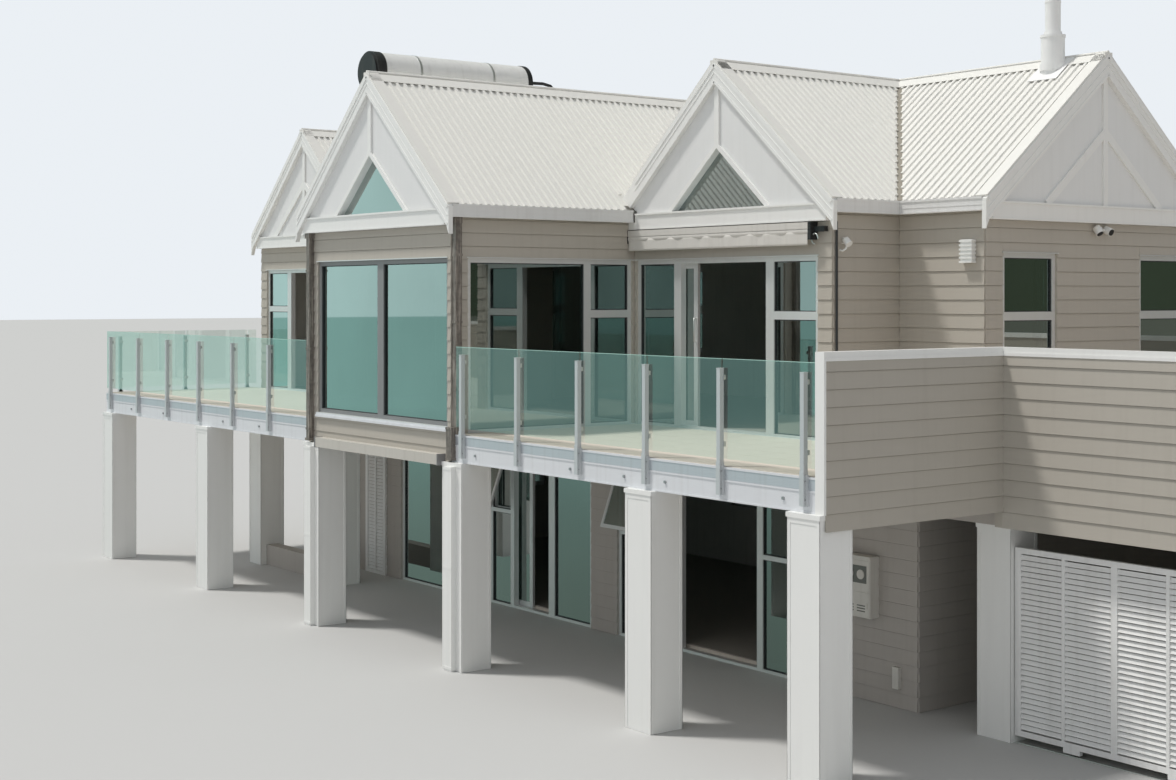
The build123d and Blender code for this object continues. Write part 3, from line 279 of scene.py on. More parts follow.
def makeTubes():
    group, entry, leave = newGroup("tubesAlong", "GeometryNodeTree",
                                   [("Geometry", "Geometry"), ("Radius", "Float"), ("Material", "Material")],
                                   [("Geometry", "Geometry")])
    path = add(group, "GeometryNodeMeshToCurve", {"Mesh": entry.outputs["Geometry"]})
    ring = add(group, "GeometryNodeCurvePrimitiveCircle", {"Resolution": 12,
                                                           "Radius": entry.outputs["Radius"]})
    sweep = add(group, "GeometryNodeCurveToMesh", {"Curve": path.outputs["Curve"], "Fill Caps": True,
                                                   "Profile Curve": ring.outputs["Curve"]})
    return paintResult(group, sweep.outputs["Mesh"], entry, leave)


barsOnPoints = makeBars()
tubesAlong = makeTubes()


def place(name, mesh):
    item = bpy.data.objects.new(name, mesh)
    bpy.context.scene.collection.objects.link(item)
    return item


def grow(name, mesh, group, values, body, slotName):
    # the node group's result on this mesh, as a plain mesh on its body
    source = place(mesh.name, mesh)
    modifier = source.modifiers.new("grow", "NODES")
    modifier.node_group = group
    values["Material"] = looks[slotName]
    for item in group.interface.items_tree:
        if item.in_out == "INPUT" and item.name in values:
            modifier[item.identifier] = values[item.name]
    result = bpy.data.meshes.new_from_object(source.evaluated_get(bpy.context.evaluated_depsgraph_get()))
    bpy.data.objects.remove(source)
    piece = place(name, result)
    result.materials.clear()
    result.materials.append(looks[slotName])
    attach(piece, body)
    return piece


def bars(name, rows, body, slotName, taper=0.0, pinch=0.0, isRound=False, sides=16):
    # rows of (centre, size, turn)
    mesh = bpy.data.meshes.new(name + "Points")
    mesh.from_pydata([row[0] for row in rows], [], [])
    for label, column in (("size", 1), ("turn", 2)):
        layer = mesh.attributes.new(label, "FLOAT_VECTOR", "POINT")
        for index, row in enumerate(rows):
            layer.data[index].vector = row[column]
    values = {"Taper": taper, "Pinch": pinch, "Round": isRound, "Sides": sides}
    return grow(name, mesh, barsOnPoints, values, body, slotName)


def discs(name, rows, slotName, sides):
    return bars(name, rows, "house", slotName, isRound=True, sides=sides)


def tubes(name, paths, radius, slotName):
    # round bars or pipes along paths of points
    points, edges = [], []
    for path in paths:
        first = len(points)
        points += [tuple(point) for point in path]
        edges += [(first + index, first + index + 1) for index in range(len(path) - 1)]
    mesh = bpy.data.meshes.new(name + "Paths")
    mesh.from_pydata(points, edges, [])
    piece = grow(name, mesh, tubesAlong, {"Radius": radius}, "house", slotName)
    for face in piece.data.polygons:
        face.use_smooth = True


def bar(x0, x1, y0, y1, z0, z1):
    return (((x0 + x1) / 2, (y0 + y1) / 2, (z0 + z1) / 2), (x1 - x0, y1 - y0, z1 - z0), (0, 0, 0))


def disc(centre, width, length, turn=(0, 0, 0)):
    return (tuple(centre), (width, width, length), turn)


flat = (math.pi / 2, 0, 0)  # a disc that faces the front
turns = {"front": 0.0, "right": math.pi / 2, "back": math.pi, "left": -math.pi / 2}


def onSide(side, face, x, depth, z):
    # a wall's own X, depth and height as a place on the house
    if side == "front":
        return (x, face + depth, z)
    if side == "right":
        return (face - depth, x, z)
    if side == "back":
        return (-x, face - depth, z)
    return (face + depth, -x, z)


def barOn(side, face, x0, x1, inner, out, z0, z1):
    # a bar on a wall, between two distances out from its face
    centre = onSide(side, face, (x0 + x1) / 2, -(inner + out) / 2, (z0 + z1) / 2)
    return (centre, (x1 - x0, out - inner, z1 - z0), (0, 0, turns[side]))


def slantOn(side, face, start, end, inner, out, wide):
    # a sloping bar on a wall, from one (x, z) to another
    centre = onSide(side, face, (start[0] + end[0]) / 2, -(inner + out) / 2, (start[1] + end[1]) / 2)
    length = math.hypot(end[0] - start[0], end[1] - start[1])
    return (centre, (length, out - inner, wide),
            (0, -math.atan2(end[1] - start[1], end[0] - start[0]), turns[side]))


def lying(start, end, wide, high, lift=0.0, up=(0, 0, 1)):
    # a bar from one point to another, with its top turned up
    start, end = Vector(start), Vector(end)
    along = (end - start).normalized()
    across = along.cross(Vector(up)).normalized()
    top = across.cross(along)
    turn = Matrix((across, along, top)).transposed().to_euler()
    centre = (start + end) / 2 + top * (lift + high / 2)
    return (tuple(centre), (wide, (end - start).length, high), tuple(turn))


def steps(start, end, pitch):
    # places from start up to end, one pitch apart
    places = []
    while start < end:
        places.append(start)
        start += pitch
    return places


# Openings as (start, end, bottom, top) in their wall's own X
doors = {"head": 4.88, "jamb": 0.055, "sill": 0.035, "rail": 4.15, "lowRail": 1.325}
windowSize = {"half": 0.475, "bottom": 3.48, "top": 4.905, "groundBottom": 1.0}
upper = (windowSize["bottom"], windowSize["top"])
ground = (windowSize["groundBottom"], plan["groundHead"])
doorSpan = (floor, doors["head"])
frontOpening = (wing1[0] + 0.25, wing1[1] - 0.075, 2.86, doors["head"])
sideOpening = (0.07, 2.59, *doorSpan)
leftSideOpening = (-sideOpening[1], -sideOpening[0], *doorSpan)
doors2 = (wing2[0] + 0.055, wing2[0] + 3.33, *doorSpan)
doors0 = (-10.542, -7.26, *doorSpan)
bayOpening = (wing0[1] + 0.25, wing1[0] - 0.25, *doorSpan)
endOpenings = [(4.002, 4.952, *upper), (6.528, 7.478, *upper)]
leftEndOpenings = [(-b, -a, c, d) for a, b, c, d in reversed(endOpenings)]
runA = (-5.905, -1.0, 0.0, plan["groundHead"])
runB = (-0.44, 3.68, 0.0, plan["groundHead"])


def windowRow(start, end, count, heights):
    step = (end - start) / count
    middles = [start + step * (index + 0.5) for index in range(count)]
    return [(middle - windowSize["half"], middle + windowSize["half"], *heights) for middle in middles]


backOpenings = windowRow(-mainRight, -mainLeft, 4, upper)
groundBack = windowRow(-mainRight, -groundLeft, 4, ground)
groundLeftOpenings = windowRow(-7.615, -2.785, 2, ground)

# Lapped boards on every wall
boards = {"pitch": 0.16, "thick": 0.02, "gap": 0.004, "taper": 0.55, "leastWide": 0.01, "leastHigh": 0.012}
thick = boards["thick"]


def boardRows(side, face, x0, x1, z0, z1, openings=()):
    rows = []

    def lay(a, b, low, high):
        if b - a > boards["leastWide"] and high - low > boards["leastHigh"]:
            centre = onSide(side, face, (a + b) / 2, -thick / 2, (low + high) / 2)
            rows.append((centre, (b - a, thick, high - low - boards["gap"]), (0, 0, turns[side])))

    for index in range(math.ceil((z1 - z0) / boards["pitch"] - 0.01)):
        low = z0 + boards["pitch"] * index
        high = min(low + boards["pitch"], z1)
        start = x0
        for a, b, c, d in sorted(item for item in openings if item[2] < high and item[3] > low):
            lay(start, a, low, high)
            lay(a, b, low, min(high, c))
            lay(a, b, max(low, d), high)
            start = b
        lay(start, x1, low, high)
    return rows


carportHead, capBottom = plan["carportHead"], plan["capBottom"]
screenSpan = (2.42, 3.0)  # y, from the carport's last column to its right wall
upperWalls = [
    ("front", wing1Front, *wing1, ceiling, bandBottom, [frontOpening]),
    ("right", wing1[1], wing1Front, storey, floor, wallTop, [sideOpening]),
    ("left", wing1[0], -mainFront, -wing1Front, floor, wallTop, [leftSideOpening]),
    ("front", storey, *wing0, floor, bandBottom, [doors0]),
    ("front", storey, wing2[0] + thick, wing2[1], floor, bandBottom, [doors2]),
    ("right", wing0[1], storey, mainFront, floor, wallTop),
    ("right", wing2[1], storey, mainFront, floor, wallTop),
    ("front", mainFront, wing0[1] + thick, wing1[0] - thick, floor, wallTop, [bayOpening]),
    ("front", mainFront, wing2[1] + thick, mainRight, floor, wallTop),
    ("right", mainRight, mainFront, mainBack, floor, bandBottom, endOpenings),
    ("left", mainLeft, -mainBack, -storey, floor, bandBottom, leftEndOpenings),
    ("back", mainBack, -mainRight, -mainLeft, floor, wallTop, backOpenings),
    ("right", sideFace, wing1Front, carportFace, plan["sideBottom"], capBottom),
    ("front", carportFace, sideFace, carportRight, carportHead, capBottom),
    ("right", carportRight, carportFace, mainBack, ceiling, capBottom),
    ("back", mainBack, -carportRight, -mainRight, ceiling, capBottom),
    ("right", carportRight, *screenSpan, carportHead, ceiling),
]
groundWalls = [
    ("front", storey, groundLeft, runA[0], 0.0, ceiling),
    ("front", storey, runA[1], runB[0], 0.0, ceiling),
    ("front", storey, runB[1], mainRight, 0.0, ceiling),
    ("right", mainRight, storey, mainBack - 0.1, 0.0, ceiling),
    ("left", groundLeft, -mainBack, -storey, 0.0, ceiling, groundLeftOpenings),
    ("back", mainBack, -mainRight, -groundLeft, 0.0, ceiling, groundBack),
    ("back", mainBack, -carportRight, -mainRight, 0.0, ceiling),
    ("right", carportRight, screenSpan[1], mainBack, 0.0, ceiling),
]
for name, walls, slotName in (("upperBoards", upperWalls, "weatherboard"),
                              ("groundBoards", groundWalls, "render")):
    rows = [row for wall in walls for row in boardRows(*wall)]
    bars(name, rows, "house", slotName, taper=boards["taper"])
    print(name, len(rows))

# Wall linings, ceilings and carpets of the rooms, which the glass shows
lining = {"thick": 0.012, "gap": 0.002, "least": 0.05, "top": 5.2, "ceiling": 0.015, "carpet": 0.012,
          "groundFloor": 0.06, "groundTop": 2.45}


def liningRows(side, face, x0, x1, z0, z1, openings=()):
    out = -plan["wall"] - lining["gap"]
    inner = out - lining["thick"]
    rows = []
    start = x0
    for a, b, c, d in sorted(openings):
        rows.append(barOn(side, face, start, a, inner, out, z0, z1))
        if c - z0 > lining["least"]:
            rows.append(barOn(side, face, a, b, inner, out, z0, c))
        if z1 - d > lining["least"]:
            rows.append(barOn(side, face, a, b, inner, out, d, z1))
        start = b
    rows.append(barOn(side, face, start, x1, inner, out, z0, z1))
    return rows


upperRooms = (floor, lining["top"])
groundRooms = (lining["groundFloor"], lining["groundTop"])
linedWalls = [
    ("back", mainBack, -4.56, 10.6, *upperRooms, backOpenings),
    ("right", mainRight, 3.9, 7.6, *upperRooms, endOpenings),
    ("left", mainLeft, -7.6, -2.8, *upperRooms, leftEndOpenings),
    ("front", wing1Front, -3.5, -0.26, *upperRooms, [frontOpening]),
    ("right", wing1[1], 0.02, 3.8, *upperRooms, [sideOpening]),
    ("left", wing1[0], -3.8, -0.02, *upperRooms, [leftSideOpening]),
    ("front", storey, 0.0, 3.3, *upperRooms, [(doors2[0] + 0.04, *doors2[1:])]),
    ("front", storey, -10.6, -7.37, *upperRooms, [doors0]),
    ("back", mainBack, -4.56, 7.94, *groundRooms, groundBack),
    ("right", mainRight, 2.8, 7.6, *groundRooms),
]
rooms = [(-10.6, 4.56, 3.9, 7.6), (-3.5, -0.26, 0.02, 3.9), (-0.08, 3.3, 2.8, 3.9),
         (-10.6, -7.37, 2.8, 3.9)]  # x and y of the upper rooms: main, wings 1, 2 and 0
rows = [row for wall in linedWalls for row in liningRows(*wall)]
rows += [bar(*room, lining["top"], lining["top"] + lining["ceiling"]) for room in rooms]
bars("roomLinings", rows, "house", "lining")
rows = [bar(*room, floor, floor + lining["carpet"]) for room in rooms]
rows.append(bar(-7.93, 4.56, 2.8, 7.6, lining["groundFloor"], 0.07))
bars("roomCarpets", rows, "house", "carpet")

# Gaskets and beads round every pane, flashings over and under the windows
pane = {"gasket": 0.01, "gasketDepth": (-0.044, -0.026), "bead": 0.022, "beadDepth": (-0.078, -0.06),
        "rail": 0.095, "lowRail": 0.055, "sill": 0.055, "past": 0.02, "out": 0.03, "flashing": 0.012}
gaskets, beads, flashings = [], [], []


def frameRows(side, face, a, b, low, up, wide, depth):
    # four bars round a pane
    edges = ((a, b, low, low + wide), (a, b, up - wide, up), (a, a + wide, low + wide, up - wide),
             (b - wide, b, low + wide, up - wide))
    return [barOn(side, face, x0, x1, *depth, z0, z1) for x0, x1, z0, z1 in edges]


def window(side, face, opening, posts=(), rails={}, foot=pane["sill"], skip=()):
    # posts part the lights, rails cross them, and skipped lights are open
    x0, x1, z0, z1 = opening
    edges = [x0 + doors["jamb"], *[edge for post in posts for edge in post], x1 - doors["jamb"]]
    bottom, top = z0 + foot, z1 - doors["jamb"]
    past = pane["past"]
    flashings.append(barOn(side, face, x0 - past, x1 + past, 0.0, pane["out"], z1, z1 + pane["flashing"]))
    if z0 > 0.5:
        flashings.append(barOn(side, face, x0 - 0.015, x1 + 0.015, -0.01, 0.034, z0 - 0.012, z0 + 0.006))
    for light in range(len(posts) + 1):
        if light in skip:
            continue
        spans = [(bottom, top)]
        if light in rails:
            high = pane["lowRail"] if rails[light] == doors["lowRail"] else pane["rail"]
            spans = [(bottom, rails[light]), (rails[light] + high, top)]
        for span in spans:
            sheet = (side, face, edges[2 * light], edges[2 * light + 1], *span)
            gaskets.extend(frameRows(*sheet, pane["gasket"], pane["gasketDepth"]))
            beads.extend(frameRows(*sheet, pane["bead"], pane["beadDepth"]))


def doorPosts(start):
    return [(start, start + 0.136), (start + 1.67, start + 1.806)]


rail, lowRail, sill = doors["rail"], doors["lowRail"], doors["sill"]
bayMiddle = (bayOpening[0] + bayOpening[1]) / 2
window("front", wing1Front, frontOpening, [(-1.8675, -1.7175)])
window("right", wing1[1], sideOpening, [(1.83, 1.935)], {1: rail}, sill)
window("left", wing1[0], leftSideOpening, [(-1.935, -1.83)], {0: rail}, sill)
window("front", mainFront, bayOpening, [(bayMiddle - 0.063, bayMiddle + 0.063)], {}, sill)
window("front", storey, doors2, doorPosts(doors2[0] + 0.724), {2: rail}, sill, (1,))
window("front", storey, doors0, doorPosts(doors0[0] + 0.745), {0: rail}, sill, (1,))
for side, face, openings in (("right", mainRight, endOpenings), ("left", mainLeft, leftEndOpenings),
                             ("back", mainBack, backOpenings)):
    for opening in openings:
        window(side, face, opening, (), {0: rail})
for side, face, openings in (("back", mainBack, groundBack), ("left", groundLeft, groundLeftOpenings)):
    for opening in openings:
        window(side, face, opening)
window("front", storey, runA, [(-4.7, -4.62), (-3.46, -3.385), (-2.926, -2.84), (-2.002, -1.865)],
       {2: lowRail}, sill, (3,))
window("front", storey, runB, [(0.735, 0.82), (2.2, 2.3)], {0: lowRail, 2: lowRail}, sill, (1,))
bars("paneGaskets", gaskets, "house", "gasket")
bars("paneBeads", beads, "house", "frame_aluminium")
bars("windowFlashings", flashings, "house", "frame_aluminium")
print("windows")

# Roof ribs, ridge by ridge: each wing's roof as (centre, run)
ribs = {"pitch": 0.11, "high": 0.022, "wide": 0.055, "pinch": 0.35, "valleyStop": 0.05, "ridgeStop": 0.04,
        "least": 0.1}
centres = [(-8.985, 1.9), (-1.88, 1.905), (1.611, 1.967)]
fronts = [face - plan["proud"] for face in (storey, wing1Front, storey)]
rise = ridge - eave
mainRun = (mainBack - mainFront) / 2 + plan["overhang"]
slopeMain = rise / mainRun
stop = ribs["ridgeStop"]
rows = []


def addRib(start, end):
    if (Vector(end) - Vector(start)).length > ribs["least"]:
        rows.append(lying(start, end, ribs["wide"], ribs["high"]))


for x in steps(mainLeft - plan["proud"] + 0.1, mainRight + plan["proud"] - 0.05, ribs["pitch"]):
    addRib((x, mainCentre + stop, ridge - slopeMain * stop), (x, mainCentre + mainRun, eave))
    reach = mainRun
    for centre, run in centres:
        if abs(x - centre) < run:
            reach = min(reach, abs(x - centre) * (rise / run) / slopeMain - ribs["valleyStop"])
    if reach > ribs["least"]:
        addRib((x, mainCentre - stop, ridge - slopeMain * stop),
               (x, mainCentre - reach, ridge - slopeMain * reach))
for number, ((centre, run), front) in enumerate(zip(centres, fronts)):
    slope = rise / run
    for y in steps(front + 0.08, mainCentre - 0.1, ribs["pitch"]):
        for side in (-1, 1):
            reach = run
            if y > mainCentre - mainRun:
                reach = min(reach, (mainCentre - y) * slopeMain / slope - ribs["valleyStop"])
            if y > fronts[2] - 0.1 and (number, side) in ((1, 1), (2, -1)):
                other, otherRun = centres[3 - number]  # the valley between wings 1 and 2
                slopeOther = rise / otherRun
                half = abs(other - centre) * slopeOther / (slope + slopeOther)
                reach = min(reach, half - ribs["valleyStop"])
            if reach > ribs["least"]:
                addRib((centre + side * stop, y, ridge - slope * stop),
                       (centre + side * reach, y, ridge - slope * reach))
bars("roofRibs", rows, "house", "roof_steel", pinch=ribs["pinch"])
print("ribs", len(rows))

# Ridge caps, verge caps and valley trays
caps = {"wide": 0.15, "thin": 0.004, "bead": 0.02, "verge": 0.16, "tray": 0.11, "trayLift": 0.012,
        "past": 0.14, "wingPast": 0.06, "plateHalf": 0.07, "plateThin": 0.005, "plateDrop": 0.06,
        "plateTop": 0.018}
valleyFoot = (-0.1625, 3.806, 5.681)  # where the valley between wings 1 and 2 turns to the front
thin, half = caps["thin"], caps["wide"] / 2
plate = (ridge - caps["plateDrop"], ridge + caps["plateTop"])
beadTop = ridge + ribs["high"]
mainEnds = (mainLeft - caps["past"], mainRight + caps["past"])
rows, trays = [], []


def trayTo(start, end):
    trays.append(lying(start, end, caps["tray"], thin, caps["trayLift"]))


for side in (-1, 1):
    low = ridge - slopeMain * half
    middle = mainCentre + side * half
    rows.append(lying((mainEnds[0], middle, low), (mainEnds[1], middle, low), caps["wide"], thin,
                      ribs["high"], (0, side * slopeMain, 1)))
    for x in (mainEnds[0] + caps["verge"] / 2, mainEnds[1] - caps["verge"] / 2):
        rows.append(lying((x, mainCentre, ridge), (x, mainCentre + side * mainRun, eave), caps["verge"],
                          ribs["high"] + thin))
    for (centre, run), front in zip(centres, fronts):
        slope = rise / run
        low = ridge - slope * half
        start = front - caps["wingPast"]
        rows.append(lying((centre + side * half, start, low), (centre + side * half, mainCentre, low),
                          caps["wide"], thin, ribs["high"], (side * slope, 0, 1)))
        inValley = (centre, side) in ((centres[1][0], 1), (centres[2][0], -1))
        reach = centre - 0.06 if inValley and side < 0 else run
        y = start + caps["verge"] / 2
        rows.append(lying((centre, y, ridge), (centre + side * reach, y, ridge - slope * reach),
                          caps["verge"], ribs["high"] + thin))
        foot = valleyFoot if inValley else (centre + side * run, mainCentre - mainRun, eave)
        trayTo((centre, mainCentre, ridge), foot)
trayTo(valleyFoot, (valleyFoot[0], fronts[2], valleyFoot[2]))
for x in mainEnds:
    rows.append(bar(x - caps["plateThin"], x + caps["plateThin"], mainCentre - caps["plateHalf"],
                    mainCentre + caps["plateHalf"], *plate))
for (centre, run), front in zip(centres, fronts):
    rows.append(bar(centre - caps["plateHalf"], centre + caps["plateHalf"], front - 0.064, front - 0.054,
                    *plate))
bars("roofCaps", rows, "house", "roof_steel")
bars("valleyTrays", trays, "house", "valley")
beadPaths = [[(x, mainCentre, beadTop) for x in mainEnds]]
beadPaths += [[(centre, y, beadTop) for y in (front - caps["wingPast"], mainCentre)]
              for (centre, run), front in zip(centres, fronts)]
tubes("ridgeBeads", beadPaths, caps["bead"], "roof_steel")

# Gables: mouldings on the barge boards, ledges on the bands, battens behind the open window
gable = {"barge": 0.262, "bargeFace": 0.14, "capping": 0.05, "strip": 0.035, "middle": 0.014,
         "battenPitch": 0.085, "batten": 0.05, "battenDepth": (-0.06, -0.03), "windowHalf": 0.85,
         "windowRise": 0.74}
gableList = [("front", storey, *centres[0]), ("front", wing1Front, *centres[1]),
             ("front", storey, *centres[2]),
             ("right", mainRight, mainCentre, mainRun), ("left", mainLeft, -mainCentre, mainRun)]
mouldings = []
for number, (side, face, centre, run) in enumerate(gableList):
    slope = rise / run
    lean = math.hypot(1.0, slope)
    for hand in (-1, 1):
        reach = centre - 0.08 if number == 2 and hand < 0 else run
        for wide, drop, out in ((gable["capping"], gable["capping"] / 2 * lean, 0.009),
                                (gable["middle"], gable["barge"] * 0.5, 0.006),
                                (gable["strip"], gable["barge"] - gable["strip"] / 2 * lean, 0.006)):
            mouldings.append(slantOn(side, face, (centre, ridge - drop),
                                     (centre + hand * reach, ridge - slope * reach - drop),
                                     gable["bargeFace"], gable["bargeFace"] + out, wide))
    left, right = centre - (run - plan["overhang"]), centre + (run - plan["overhang"])
    if number == 2:
        left = 0.06
    mouldings += [barOn(side, face, left, right, 0.105, 0.122, 5.452, 5.474),
                  barOn(side, face, left, right, 0.105, 0.113, 5.27, 5.288)]
bars("gableMouldings", mouldings, "house", "white_trim")
middle, wide = centres[2][0], gable["windowHalf"]
battens = [barOn("front", storey, x, x + gable["batten"], *gable["battenDepth"], plan["bandTop"],
                 plan["bandTop"] + gable["windowRise"] * (1 - abs(x - middle) / wide))
           for x in steps(middle - wide + 0.06, middle + wide - 0.05, gable["battenPitch"])]
bars("gableBattens", battens, "house", "batten")

# Lips and beads along the gutters
gutterFaces = [("left", -10.913, -3.567, -2.555), ("right", -7.057, 2.555, 3.595),
               ("front", 3.567, -7.085, -3.785), ("left", -3.813, -3.595, 0.228),
               ("right", 0.053, -0.228, 2.495), ("right", 3.606, 2.555, 3.595),
               ("front", 3.567, 3.578, 4.802), ("back", 7.913, -4.802, 10.845)]
gutterLips = ((-0.004, 0.009, 5.49, 5.514), (0.0, 0.007, 5.36, 5.378), (0.0, 0.004, 5.42, 5.43))
rows = [barOn(*run, *lip) for run in gutterFaces for lip in gutterLips]
bars("gutterLips", rows, "house", "gutter_white")
print("roof edges")

# Columns: a frame of flat strips on every face
column = {"half": 0.205, "edge": 0.034, "proud": 0.005, "rail": 0.05, "cap": 0.045, "y": 0.0, "back": 1.71}
columns = [(x, column["y"], ceiling) for x in (-10.79, -7.02, -3.51, 0.0, 3.51, 5.895)]
columns += [(-8.715, column["back"], ceiling), (-6.165, column["back"], ceiling), (-10.56, 4.805, ceiling),
            (-10.56, 7.56, ceiling), (5.895, 2.64, carportHead), (9.705, 2.785, carportHead),
            (13.515, 2.785, carportHead)]
rows = []
for x, y, top in columns:
    head = top - column["cap"]
    for side, face, across in (("front", y - column["half"], x), ("right", x + column["half"], y),
                               ("back", y + column["half"], -x), ("left", x - column["half"], -y)):
        a, b = across - column["half"], across + column["half"]
        edge, proud = column["edge"], column["proud"]
        rows += [barOn(side, face, a - proud, a + edge, 0.0, proud, 0.0, head),
                 barOn(side, face, b - edge, b + proud, 0.0, proud, 0.0, head),
                 barOn(side, face, a + edge, b - edge, 0.0, proud, head - column["rail"], head)]
bars("columnStrips", rows, "house", "white_trim")

# Fascia: channel, lips and bolts
fascia = {"face": -0.148, "left": -10.995,
          "bolts": (0.417, 2.276, 3.213, 3.875, 5.575, -5.2, -6.4, -8.6, -9.9),
          "channel": (0.0, 0.004, 2.662, 2.762),
          "lips": ((0.0, 0.009, 2.762, 2.782), (0.0, 0.007, 2.642, 2.66), (0.0, 0.006, 2.453, 2.47))}
faces = [("front", fascia["face"], fascia["left"], wing1[0]),
         ("front", fascia["face"], wing1[1] + 0.09, 6.012),
         ("left", fascia["left"], -storey, -fascia["face"])]
bars("fasciaChannel", [barOn(*run, *fascia["channel"]) for run in faces], "house", "channel")
bars("fasciaLips", [barOn(*run, *lip) for run in faces for lip in fascia["lips"]], "house", "fascia")
rows = [disc((x, fascia["face"] - 0.006, 2.56), 0.034, 0.016, flat) for x in fascia["bolts"]]
discs("fasciaBolts", rows, "bolt", 6)

# Balustrade: post shoes, bolts, heads, clips and the green edges of the glass
barrier = {"top": 3.725, "shoe": 0.044, "inner": 0.028, "bottom": 2.515, "shoeTop": 2.83, "clip": 0.034,
           "boltRows": (2.575, 2.745), "clipRows": (2.98, 3.62)}
posts = [("front", fascia["face"], 0.165 + 1.14 * k) for k in range(6)]
posts += [("front", fascia["face"], -10.754 + 1.18 * k) for k in range(6)]
posts += [("left", fascia["left"], -y) for y in (0.102, 1.282, 2.462)]
shoes, heads, bolts, clips = [], [], [], []
for side, face, x in posts:
    shoe, inner, top = barrier["shoe"], barrier["inner"], barrier["top"]
    shoes += [barOn(side, face, x - shoe, x + shoe, 0.0, 0.036, barrier["bottom"], barrier["shoeTop"] - 0.03),
              barOn(side, face, x - inner, x + inner, 0.0, 0.055, barrier["bottom"], barrier["shoeTop"])]
    heads.append(barOn(side, face, x - inner, x + inner, -0.003, 0.053, top, top + 0.007))
    bolts += [disc(onSide(side, face, x + shift, -0.039, z), 0.012, 0.01, (math.pi / 2, 0, turns[side]))
              for z in barrier["boltRows"] for shift in (-0.036, 0.036)]
    clips += [barOn(side, face, x - barrier["clip"], x + barrier["clip"], -0.018, 0.004, z, z + 0.045)
              for z in barrier["clipRows"]]
bars("postShoes", shoes, "house", "post_aluminium")
bars("postHeads", heads, "house", "post_aluminium")
discs("postBolts", bolts, "bolt", 8)
bars("glassClips", clips, "house", "steel")
sheets = ((0.002, 1.296), (1.314, 2.436), (2.454, 3.576), (3.594, 4.716), (4.734, 6.003), (-10.972, -3.674))
bars("glassEdges", [bar(*sheet, -0.1475, -0.1345, 3.817, 3.823) for sheet in sheets], "house", "glass_edge")
print("columns and barriers")

# Deck tiles, deck by deck
tile = {"size": 0.45, "joint": 0.005, "high": 0.008, "least": 0.05}
rows = []
for x0, x1, y0, y1 in ((0.02, 6.0, -0.12, 2.62), (3.5, 6.0, 2.63, 3.69), (-10.97, -3.7, -0.12, 2.62),
                       (-7.18, -3.7, 2.63, 3.69), (6.14, 13.6, 2.43, 7.6), (4.76, 6.0, 3.7, 7.6)):
    for y in steps(y0, y1 - tile["least"], tile["size"]):
        for x in steps(x0, x1 - tile["least"], tile["size"]):
            rows.append(bar(x, min(x + tile["size"], x1) - tile["joint"],
                            y, min(y + tile["size"], y1) - tile["joint"], floor, floor + tile["high"]))
bars("deckTiles", rows, "house", "deck_concrete")

# Blades of the gate, the fixed screen and the louvred panel
blade = {"high": 0.047, "thin": 0.005, "lean": -0.4, "pitch": 0.054}
for name, x0, x1, y, low, count, body in (("gateBlades", 6.12, 9.555, 2.504, 0.168, 32, "gate"),
                                          ("screenBlades", 9.918, 13.302, 2.799, 0.1035, 33, "house"),
                                          ("louvreBlades", -6.952, -6.348, 2.599, 0.0855, 42, "house")):
    rows = [(((x0 + x1) / 2, y, low + blade["pitch"] * k), (x1 - x0, blade["thin"], blade["high"]),
             (blade["lean"], 0, 0)) for k in range(count)]
    bars(name, rows, body, "gate_white")

# Door handles
pull = {"face": 2.727, "reach": 0.03, "radius": 0.009, "bottom": 3.86, "top": 4.15,
        "flush": (2.736, 2.742, 0.95, 1.17)}
outer = pull["face"] - pull["reach"]
paths = [[(x, pull["face"], pull["bottom"]), (x, outer, pull["bottom"]), (x, outer, pull["top"]),
          (x, pull["face"], pull["top"])] for x in (1.007, -8.313)]
tubes("upperHandles", paths, pull["radius"], "steel")
bars("leftFlushPull", [bar(-2.556, -2.53, *pull["flush"])], "left_door", "steel")
bars("rightFlushPull", [bar(2.19, 2.216, *pull["flush"])], "right_door", "steel")

# Parapet: lips under the caps
rows = [barOn(*run, 0.012, 0.02, 3.836, 3.87) for run in (("right", sideFace, -0.162, carportFace),
                                                          ("front", carportFace, sideFace, 13.746),
                                                          ("right", carportRight, 2.291, mainBack))]
bars("capLips", rows, "house", "white_trim")

# Sill under the front window, the dark ends of the blind box, and its slot in painted shade
sillRun = ("front", wing1Front, -3.43, -0.155)
rows = [barOn(*sillRun, 0.0, 0.05, 2.806, 2.836), barOn(*sillRun, 0.0, 0.036, 2.836, 2.858)]
bars("frontSill", rows, "house", "fascia")
rows = [bar(x, x + 0.017, -0.28, wing1Front, 2.405, 2.543) for x in (-3.3, -0.227)]
# the slot: a dark strip along the underside of the box, painted shade in the gap
rows.append(bar(-3.27, -0.24, -0.235, -0.19, 2.407, 2.413))
bars("blindEnds", rows, "house", "grey_frame")
print("decks and screens")

# Awning: rolled cloth in its front rail, end arm, and the hanging valance
awning = {"left": -0.07, "right": 3.19, "y": 2.557, "z": 5.155, "radius": 0.052, "fold": 0.005, "folds": 9,
          "ripples": 31, "top": 5.15, "bottom": 4.998, "front": 2.512, "hem": 0.01, "cloth": 0.002,
          "across": 312, "down": 6}
tubes("awningRoll", [[(x, awning["y"], awning["z"]) for x in (awning["left"], awning["right"])]],
      awning["radius"], "awning_fabric")
bars("awningArm", [bar(3.19, 3.235, 2.505, 2.635, 5.06, 5.262), bar(3.235, 3.40, 2.56, 2.62, 5.15, 5.21),
                   bar(-0.085, -0.068, 2.505, 2.635, 5.09, 5.262)], "house", "black_cap")
loop = [(3.26 + 0.05 * math.cos(step * math.pi / 8), 2.55, 5.07 + 0.06 * math.sin(step * math.pi / 8))
        for step in range(13)]
tubes("awningLoops", [loop], 0.008, "steel")
across, down = awning["across"], awning["down"]
high = awning["top"] - awning["bottom"]
